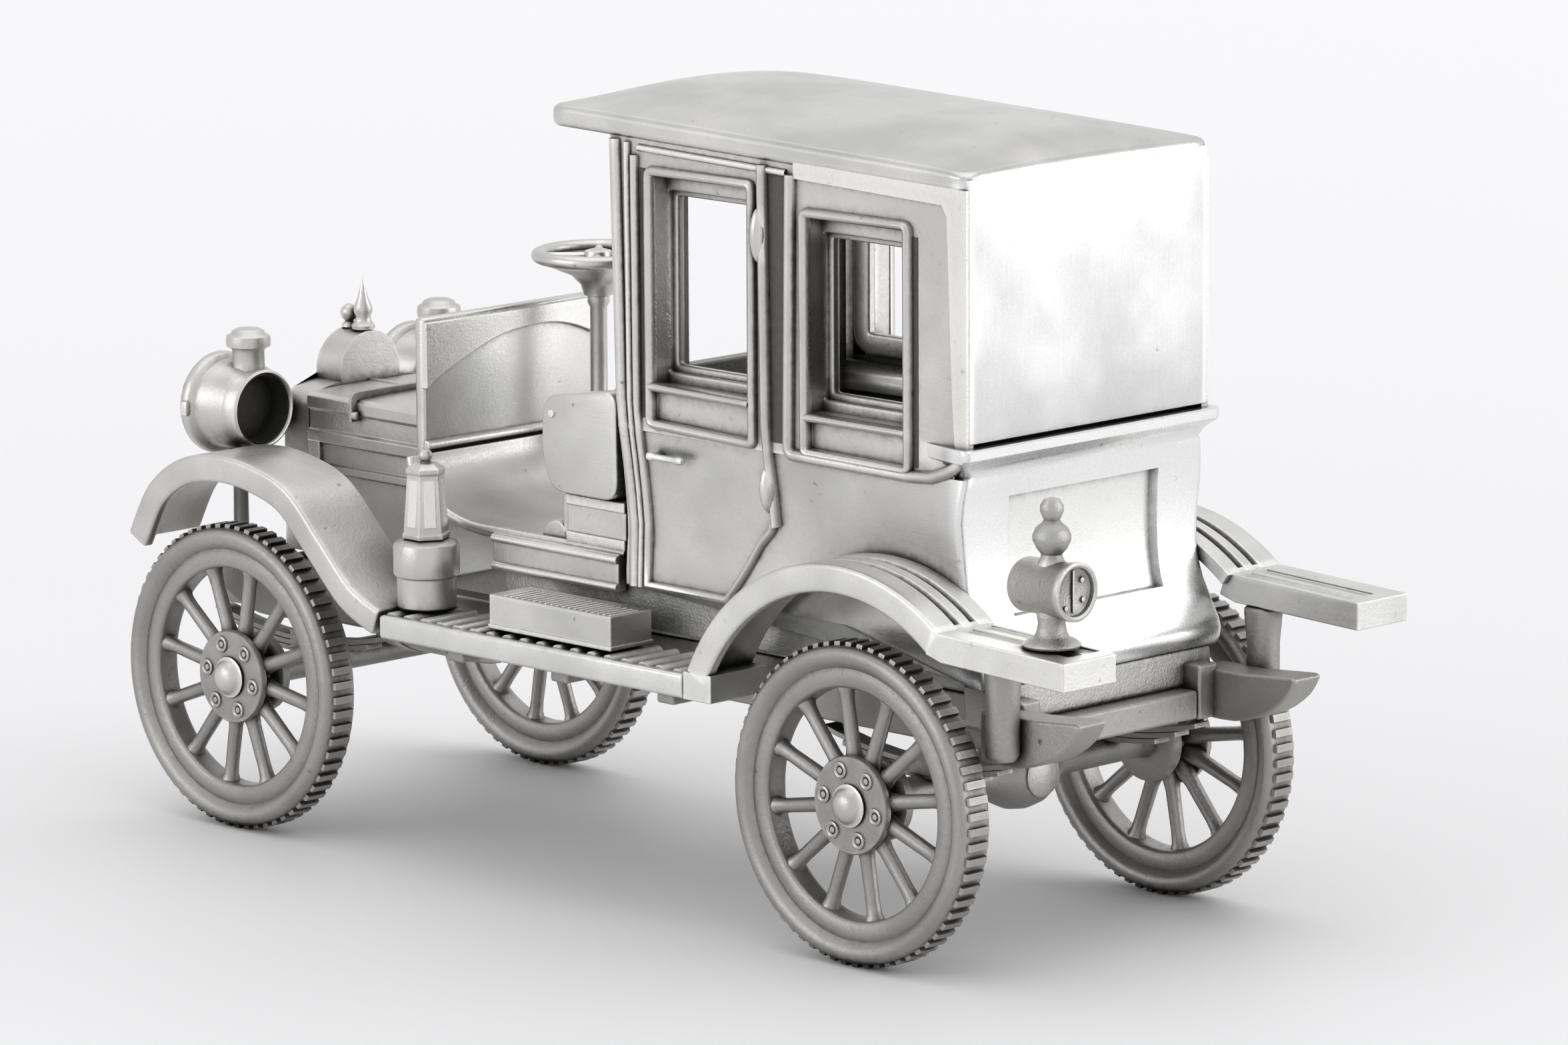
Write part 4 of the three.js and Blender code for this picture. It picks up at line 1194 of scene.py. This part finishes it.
def back_form():
    low_z, high_z = 33.85, ROOF_LINE + 0.75
    bm = block((ROOF_LOW.x, -SIDE, low_z), (ROOF_LOW.x + 1.25, SIDE, high_z))
    bmesh.ops.subdivide_edges(bm, edges=bm.edges, cuts=15, use_grid_fill=True)
    for vert in bm.verts:
        v = vert.co.y / SIDE
        w = 2 * (vert.co.z - low_z) / (high_z - low_z) - 1
        if vert.co.x < ROOF_LOW.x + 0.01:
            vert.co.x -= 0.3 * (1 - v ** 4) * (1 - w ** 4)
    return bm


# The back takes the pale brushed finish: its brushed lines are real, its paleness is a painted
# highlight where it faces the lamp behind.
put("back_casting", back_form(), bright, (), edge=0.7, steps=5, angle=50)

# %% [markdown]
# ## Inside the cabin
# The cabin was blackened and never rubbed. It could be one dark box, but light has to pass
# from window to window. So thin dark panels line the walls beside the openings, and the
# partition has its own window.

# %% inside the cabin


def lining_form():
    low_x, high_x, half = -5.05, 23.4, 9.1
    near, far = 8.9, 9.2          # the lining's two faces at a side wall
    panels = [block((low_x, -half, 22), (low_x + 0.2, half, WALL_HEAD)),
              block((low_x, -half, WALL_HEAD - 0.3), (high_x, half, WALL_HEAD - 0.1))]
    for y0, y1 in ((-far, -near), (near, far)):
        panels.append(block((low_x, y0, 22), (high_x, y1, 34.6)))
        for x0, x1 in ((8.6, 12.3), (low_x, -1.4), (22.3, high_x)):
            panels.append(block((x0, y0, 34), (x1, y1, WALL_HEAD)))
    return together(*panels)


put("black_lining", lining_form(), dark)
floor_low, floor_high = span("cabin_floor")
put("cabin_floor_casting", block(floor_low, floor_high), dark, ("cabin_floor",), edge=0.15)

PARTITION_WINDOW = 6.2, 35.0, 47.3    # half-width, foot and head


def partition_form():
    low, high = span("front_partition")
    bm = bmesh.new()
    bm.faces.new([bm.verts.new((high.x, y, z)) for y, z in (
        (low.y, low.z), (high.y, low.z), (high.y, high.z), (low.y, high.z))])
    half, foot, head = PARTITION_WINDOW
    cut(bm, "y", (-half, half))
    cut(bm, "z", (foot, head))
    hole = [face for face in bm.faces if abs(face.calc_center_median().y) < half
            and foot < face.calc_center_median().z < head]
    bmesh.ops.delete(bm, geom=hole, context="FACES")
    bmesh.ops.solidify(bm, geom=bm.faces, thickness=1.2)
    centre = sum((vert.co for vert in bm.verts), Vector()) / len(bm.verts)
    bmesh.ops.translate(bm, vec=((low.x + high.x) / 2 - centre.x, 0, 0), verts=bm.verts)
    return bm


put("partition_casting", partition_form(), dull, ("front_partition",), edge=0.15)

# %% [markdown]
# ## The driver's place
# The floor runs flat from the seat and curls up to the dashboard. The seat is a bench between
# two rounded side panels. The dashboard is a plain board with an arched step on its back.

# %% floor and sills
FLOOR = span("driver_floor")[0].z + 0.65


def floor_line():
    low, high = span("driver_floor")
    back, reach, rise = 39.5, 7.2, 4.3
    curl = [(back + reach * math.cos(a), FLOOR + rise + rise * math.sin(a))
            for a in (-math.pi / 2 + i * (math.pi / 2 - 0.08) / 16 for i in range(17))]
    return [(low.x, FLOOR), (33.0, FLOOR), *curl]


def driver_floor_form():
    half = span("driver_floor")[1].y
    ring = [(-half, 0), (half, 0), (half, -0.65), (-half, -0.65)]
    lip = [(half + 0.1 + 0.36 * math.cos(a), -0.1 + 0.36 * math.sin(a))
           for a in (i * math.pi / 5 for i in range(10))]
    other = [(-y, z) for y, z in reversed(lip)]
    line = floor_line()
    return together(along_side(line, ring), along_side(line, lip), along_side(line, other))


put("curled_floor", driver_floor_form(), smooth, ("driver_floor",), edge=0.08)


def sill_form():
    low, high = span("driver_sill_left")
    body = block(low, (high.x, high.y - 0.35, high.z))
    beads = [bead([(low.x, high.y - 0.4, z), (high.x, high.y - 0.4, z)], 0.6, 0.35)
             for z in (high.z - 0.35, low.z + 0.35)]
    return together(body, *beads)


put_pair("sill", sill_form, satin, "driver_sill", edge=0.1)

# %% [markdown]
# ## Seat
# The driver's bench has a padded back between two flat panels with rounded corners. Each
# panel is an outline with thickness. The pads are nine upright beads side by side, which look
# like stitched leather and need no sculpting.

# %% seat
SEAT_LOW, SEAT_HIGH = span("driver_seat")
PANEL_IN, PANEL_OUT = 9.4, 10.6   # faces of the side panels
ROLLS, ROLL_PITCH = 9, 2.05       # the padded rolls of the back rest


def seat_form():
    back, front, foot, top = SEAT_LOW.x, SEAT_HIGH.x, SEAT_LOW.z, SEAT_HIGH.z
    side = soften([(back, foot), (front - 0.9, foot), (front, foot + 2.4),
                   (front - 0.15, foot + 6.3), (back, foot + 7.4)], 1.3, 5)
    left = chamfer(slab(side, PANEL_IN, PANEL_OUT), 0.28, 3)
    right = chamfer(slab(side, -PANEL_OUT, -PANEL_IN), 0.28, 3)
    cushion = chamfer(block((back, -9.45, foot), (front - 1.0, 9.45, foot + 1.85)), 0.55, 4)
    rest = chamfer(block((back, -9.45, foot + 0.3), (back + 1.5, 9.45, top)), 0.45, 4)
    rolls = [bead([(back + 1.35, y, foot + 1.8), (back + 1.35, y, top - 0.6)], 2.0, 0.42, (1, 0, 0))
             for y in (ROLL_PITCH * (i - ROLLS // 2) for i in range(ROLLS))]
    stud = turn([(0, -0.05), (0.32, -0.05), (0.26, 0.08), (0, 0.12)], 12, "y",
                (front - 1.0, PANEL_OUT, foot + 5.2))
    return together(left, right, cushion, rest, *rolls, stud)


put("bench_seat", seat_form(), smooth, ("driver_seat",))


def seat_base_form():
    low, high = span("driver_seat_base")
    box = block((low.x, low.y + 0.15, low.z), (high.x, high.y - 0.15, high.z))
    bands = [block((low.x, low.y, z), (high.x + 0.02, high.y, z + 0.8))
             for z in (low.z, high.z - 0.85)]
    return together(box, *bands)


put("seat_box", seat_base_form(), satin, ("driver_seat_base",), edge=0.15, steps=3)


def bracket_form():
    low, high = span("seat_bracket")
    plate = block((low.x, low.y, low.z), (low.x + 0.55, high.y, high.z))
    centre, radius = high.x - 1.25, 1.25
    arc = [(centre + radius * math.cos(a), low.z + radius * math.sin(a))
           for a in (i * math.pi / 14 for i in range(15))]
    return together(plate, slab(arc, low.y, high.y))


put("seat_bracket_casting", bracket_form(), satin, ("seat_bracket",), edge=0.12)

# %% [markdown]
# ## Dashboard
# The dashboard is an upright board, thicker above an arch that is cut into its rear face. The
# step is its own outline laid on the board, so its edge stays crisp under the bevel.

# %% dashboard
DASH_LOW, DASH_HIGH = span("dashboard")


def dash_form():
    board = block(DASH_LOW, DASH_HIGH)
    chamfer(board, 0.3, 3)
    arch = flowing([(DASH_LOW.y, 32.9), (-5.5, 33.75), (-2.9, 34.1), (0.8, 33.75), (4.0, 32.7),
                    (6.6, 31.6), (DASH_HIGH.y, 30.8)], 4)
    step = slab([*arch, (DASH_HIGH.y, DASH_HIGH.z - 0.25), (DASH_LOW.y, DASH_HIGH.z - 0.25)],
                DASH_LOW.x - 0.28, DASH_LOW.x + 0.3, "x")
    ledge = bead([(DASH_LOW.x, DASH_HIGH.y, 26.9), (DASH_LOW.x, DASH_LOW.y, 26.9)], 0.8, 0.45,
                 (-1, 0, 0))
    return together(board, step, ledge)


put("dashboard_casting", dash_form(), smooth, ("dashboard",), edge=0.1)

# %% [markdown]
# ## Steering
# The steering wheel is a solid dish on an upright column: rim, web and boss are turned, and
# four low ribs on the web stand for its spokes. It was cast in one, so it doesn't turn.

# %% steering
steer_low, steer_high = span("steering_wheel")
STEER = (steer_low + steer_high) / 2


def steering_form():
    radius = (steer_high.x - steer_low.x) / 2
    top = steer_high.z - 0.5
    rim = turn([(radius - 0.55 + 0.55 * math.cos(a), top + 0.02 + 0.47 * math.sin(a))
                for a in (i * math.pi / 7 for i in range(14))], 64)
    web = turn([(0, top - 0.15), (1.0, top - 0.1), (radius - 0.6, top - 0.15),
                (radius - 0.5, top - 0.4), (1.9, top - 1.3), (1.2, top - 2.0), (1.0, top - 2.7),
                (0.75, steer_low.z), (0, steer_low.z)], 48)
    boss = turn([(0, top), (1.0, top), (0.9, top + 0.3), (0.4, top + 0.45), (0, top + 0.48)], 24)
    spokes = []
    for i in range(4):
        arm = bead([(0.6, 0, top - 0.14), (radius - 0.7, 0, top - 0.14)], 0.7, 0.35, (0, 0, 1))
        bmesh.ops.rotate(arm, matrix=Matrix.Rotation(math.radians(45 + 90 * i), 3, "Z"),
                         cent=(0, 0, 0), verts=arm.verts)
        spokes.append(arm)
    bm = together(rim, web, boss, *spokes)
    bmesh.ops.translate(bm, vec=(STEER.x, STEER.y, 0), verts=bm.verts)
    return bm


put("steering_wheel_casting", steering_form(), smooth, ("steering_wheel",))
col_low, col_high = span("steering_column")
column = turn([(0, col_low.z), (1.05, col_low.z), (0.95, col_low.z + 0.5), (0.6, col_low.z + 0.9),
               (0.58, col_high.z - 0.8), (0.75, col_high.z - 0.5), (0.75, col_high.z),
               (0, col_high.z)], 24, centre=(STEER.x, STEER.y, 0))
put("steering_column_casting", column, satin, ("steering_column",))

# %% [markdown]
# ## Bonnet and radiator
# The bonnet is low and boxy, with two raised bands down each side and a strap over it. The
# radiator stands ahead of it under a round header tank, with a filler ball and a spike.

# %% bonnet
BONNET_LOW, BONNET_HIGH = span("bonnet")


def both_sides(half):
    return [*half, *[(-y, z) for y, z in reversed(half)]]


def bonnet_form():
    top, wide, foot = BONNET_HIGH.z, BONNET_HIGH.y, BONNET_LOW.z
    half = [(wide - 0.45, foot), (wide - 0.45, top - 5.6), (wide - 0.1, top - 5.5),
            (wide - 0.1, top - 5.0), (wide - 0.35, top - 4.9), (wide - 0.35, top - 3.6),
            (wide, top - 3.45), (wide, top - 2.7), (wide - 0.25, top - 2.55),
            (wide - 0.25, top - 1.3), (wide, top - 1.15), (wide, top - 0.35),
            (wide - 0.3, top - 0.12), (wide * 0.5, top - 0.02), (0.3, top), (0.2, top + 0.12)]
    shell = slab(both_sides(half), BONNET_LOW.x, BONNET_HIGH.x, "x")
    posts = [block((x - 0.55, -wide + 0.05, foot), (x + 0.55, wide - 0.05, top - 3.0))
             for x in (BONNET_LOW.x + 0.6, BONNET_HIGH.x - 0.6)]
    return together(shell, *posts)


put("bonnet_casting", bonnet_form(), satin, ("bonnet",), edge=0.1)


def strap_form():
    low, high = span("bonnet_strap")
    x = (low.x + high.x) / 2
    line = [(x, high.y - 0.2, low.z), (x, high.y - 0.2, high.z - 0.2),
            (x, low.y + 0.2, high.z - 0.2), (x, low.y + 0.2, low.z)]
    bm = sweep([(-0.3, -0.15), (0.3, -0.15), (0.3, 0.16), (-0.3, 0.16)],
               soften(line, 0.4, 3, False), (1, 0, 0))
    buckles = [chamfer(block((x - 0.55, sign * (high.y - 0.12) - 0.2, low.z + 0.2),
                             (x + 0.55, sign * (high.y - 0.12) + 0.2, low.z + 0.75)), 0.12, 2)
               for sign in (1, -1)]
    return together(bm, *buckles)


put("bonnet_strap_casting", strap_form(), dull, ("bonnet_strap",), edge=0.06)

# %% [markdown]
# ## Radiator
# The radiator is a flat block with rounded shoulders under a domed tank. Its front was drawn
# as one outline, narrowing to the dome, with upright tubes laid on as beads. A grille cut
# through the block would be finer than a casting of this size can hold.

# %% radiator
RAD_LOW, RAD_HIGH = span("radiator")


def radiator_outline(shrink=0.0):
    wide, shoulder = RAD_HIGH.y - shrink, BONNET_HIGH.z - 1.1
    dome_r, dome_z = 2.75 - shrink, RAD_HIGH.z - 2.75
    angle = -0.35
    neck = dome_r * math.cos(angle)
    side = [(wide, shoulder - 0.3), (wide - 0.3, shoulder + 0.5), (wide - 1.0, shoulder + 0.95),
            (wide - 2.2, shoulder + 1.2), (neck, shoulder + 1.3)]
    dome = [(dome_r * math.cos(a), dome_z + dome_r * math.sin(a))
            for a in (angle + 0.15 + i * (math.pi / 2 - angle - 0.15) / 12 for i in range(12))]
    return both_sides([(wide, RAD_LOW.z + shrink), *side, *dome])


def radiator_form():
    shell = slab(radiator_outline(), RAD_LOW.x, RAD_HIGH.x - 0.3, "x")
    rim = slab(radiator_outline(0.25), RAD_HIGH.x - 0.4, RAD_HIGH.x, "x")
    tubes = [bead([(RAD_HIGH.x - 0.1, y, RAD_LOW.z + 1.2),
                   (RAD_HIGH.x - 0.1, y, BONNET_HIGH.z - 1.6)], 0.5, 0.22, (1, 0, 0))
             for y in (-4.4 + 0.8 * i for i in range(12))]
    return together(shell, rim, *tubes)


put("radiator_casting", radiator_form(), satin, ("radiator",))

cap = middle("radiator_cap")
cap_foot = span("radiator_cap")[0].z
put("filler_ball", turn([(0, 0), (0.55, 0), (0.5, 0.2), (0.28, 0.4), (0.5, 0.6), (0.63, 0.95),
                         (0.52, 1.3), (0.25, 1.53), (0, 1.6)],
                        24, centre=(cap.x, cap.y, 0), foot=cap_foot), satin, ("radiator_cap",))
spike = middle("cap_finial")
foot = span("cap_finial")[0].z
put("spike", turn([(0, 0), (0.8, 0), (0.82, 0.25), (0.6, 0.5), (0.5, 0.85), (0.66, 1.2),
                   (0.62, 1.6), (0.36, 2.2), (0.2, 2.9), (0.08, 3.6), (0, 3.7)],
                  20, centre=(spike.x, spike.y, 0), foot=foot), satin, ("cap_finial",))

# %% [markdown]
# ## Headlamps
# The headlamps are drums, open at the back, with a wide ring in front and a chimney. Each is
# one profile turned on a lathe, with the hollow in the profile, so no shape has to be
# subtracted. A dark cup inside it paints the hollow black, as painted shade where the deep
# hollow falls into shadow.

# %% headlamps


def headlamp_form():
    low, high = span("headlamp_left")
    y = (low.y + high.y) / 2
    z = low.z + (high.y - low.y) / 2
    drum = turn([(0, 2.2), (2.3, 2.15), (2.45, 0.1), (2.55, 0), (2.72, 0.12), (2.75, 0.9),
                 (2.9, 1.1), (3.0, 1.4), (3.0, 3.6), (3.12, 3.8), (3.4, 3.95), (3.54, 4.2),
                 (3.54, 4.7), (3.4, 4.9), (3.1, 4.92), (3.0, 4.6), (2.4, 4.85), (1.3, 5.15),
                 (0, 5.25)], 56, "x", (0, y, z), low.x)
    chimney = turn([(0, 2.3), (1.2, 2.3), (1.12, 2.8), (1.1, 3.9), (1.2, 4.1), (1.52, 4.25),
                    (1.55, 4.6), (1.5, 4.95), (1.2, 5.1), (1.1, 5.3), (0.8, 5.45), (0, 5.5)],
                   28, centre=(low.x + 1.6, y, z))
    hinge = block((low.x + 3.9, y + 3.3, z - 0.5), (low.x + 4.6, y + 3.75, z + 0.5))
    return together(drum, chimney, chamfer(hinge, 0.12, 2))


put_pair("headlamp_drum", headlamp_form, satin, "headlamp")


def painted_shade_cup_form():
    low, high = span("headlamp_left")
    centre = (0, (low.y + high.y) / 2, low.z + (high.y - low.y) / 2)
    return turn([(0, 2.0), (2.28, 2.0), (2.4, 0.25), (2.32, 0.22), (2.2, 1.85), (0, 1.88)],
                48, "x", centre, low.x)


# A dark cup laid in each headlamp's open back: painted shade for the deep hollow.
put_pair("headlamp_painted_shade", painted_shade_cup_form, dark, "headlamp")


def lamp_stand_form():
    low, high = span("headlamp_bracket_left")
    x, y = (low.x + high.x) / 2, (low.y + high.y) / 2
    stem = turn([(0, low.z), (0.9, low.z), (0.85, low.z + 0.5), (0.55, low.z + 0.9),
                 (0.5, high.z - 0.8), (0.75, high.z - 0.4), (0.75, high.z), (0, high.z)],
                18, centre=(x, y, 0))
    return together(
        stem, chamfer(block((low.x, low.y, low.z), (high.x, high.y, low.z + 0.55)), 0.12, 2))


put_pair("lamp_stand", lamp_stand_form, dull, "headlamp_bracket")

# %% [markdown]
# ## Carriage lamps
# A carriage lamp has a round font for its oil and a six-sided lantern with panes. The font is
# turned in forty steps and the lantern in only six, which gives it its flat sides at once.

# %% carriage lamps


def carriage_lamp_form():
    low, high = span("side_lamp_left")
    x, y = (low.x + high.x) / 2, (low.y + high.y) / 2
    z = low.z
    base = turn([(0, 0), (1.9, 0), (1.98, 0.1), (2.0, 2.1), (2.16, 2.2), (2.22, 2.35), (2.22, 4.2),
                 (2.12, 4.4), (1.9, 4.5), (1.6, 4.62), (0, 4.7)], 40, centre=(x, y, 0), foot=z)
    lantern = turn([(0, 4.6), (1.62, 4.7), (1.66, 5.0), (1.55, 5.15), (1.28, 9.0), (1.38, 9.15),
                    (1.38, 9.4), (0.85, 9.75), (0, 9.9)], 6, centre=(x, y, 0), foot=z)
    panes = []
    for i in range(6):
        angle = math.radians(60 * i + 30)
        pane = block((1.1, -0.42, z + 5.5), (1.36, 0.42, z + 8.7))
        for vert in pane.verts:
            vert.co.x -= (vert.co.z - z - 5.5) * 0.065
        bmesh.ops.rotate(pane, matrix=Matrix.Rotation(angle, 3, "Z"), cent=(0, 0, 0),
                         verts=pane.verts)
        bmesh.ops.translate(pane, vec=(x, y, 0), verts=pane.verts)
        panes.append(pane)
    knob = turn([(0, 9.6), (0.5, 9.7), (0.3, 9.85), (0.46, 10.1), (0.5, 10.3), (0.34, 10.6),
                 (0, 10.7)], 18, centre=(x, y, 0), foot=z)
    return together(base, lantern, *panes, knob)


put_pair("carriage_lamp", carriage_lamp_form, satin, "side_lamp", edge=0.06, angle=28)

# %% [markdown]
# ## Tail lamp
# The tail lamp is a drum that looks backwards, on a turned pedestal with two balls above. The
# slit and three rivets on its lens are raised so that they catch the light.

# %% tail lamp


def tail_lamp_form():
    low = span("tail_lamp")[0]
    x, y = TAIL_END + 3.55, FENDER_OUT - 2.7
    z = KINK_POINT.y + 3.5
    drum = turn([(0, 2.5), (1.2, 2.45), (1.62, 2.3), (1.74, 2.05), (1.74, -1.55), (1.86, -1.7),
                 (1.9, -1.95), (1.88, -2.15), (1.7, -2.2), (1.55, -2.12), (1.5, -1.85),
                 (1.35, -1.75), (0, -1.7)], 44, "x", (x, y, z))
    slit = block((x - 1.86, y - 0.07, z - 1.3), (x - 1.6, y + 0.07, z + 1.35))
    rivets = [turn([(0, -1.95), (0.16, -1.9), (0.2, -1.7), (0, -1.7)],
                   10, "x", (x, y + dy, z + dz))
              for dy, dz in ((-0.75, 0.65), (-0.85, -0.6), (0.7, -1.0))]
    stand = turn([(0, low.z - z), (1.85, low.z - z), (1.88, low.z - z + 0.12), (1.55, -3.25),
                  (1.15, -3.1), (0.98, -2.8), (0.86, -2.2), (0.98, -1.55), (0.9, 0), (0.95, 1.5),
                  (0.72, 1.9), (0.66, 2.15), (0.95, 2.5), (1.2, 3.0), (1.22, 3.35), (1.02, 3.8),
                  (0.66, 4.1), (0.5, 4.3), (0.6, 4.5), (0.74, 4.85), (0.74, 5.2), (0.5, 5.6),
                  (0, 5.75)], 32, centre=(x, y, z))
    return together(drum, slit, *rivets, stand)


put("tail_lamp_casting", tail_lamp_form(), rough_cast, ("tail_lamp",))
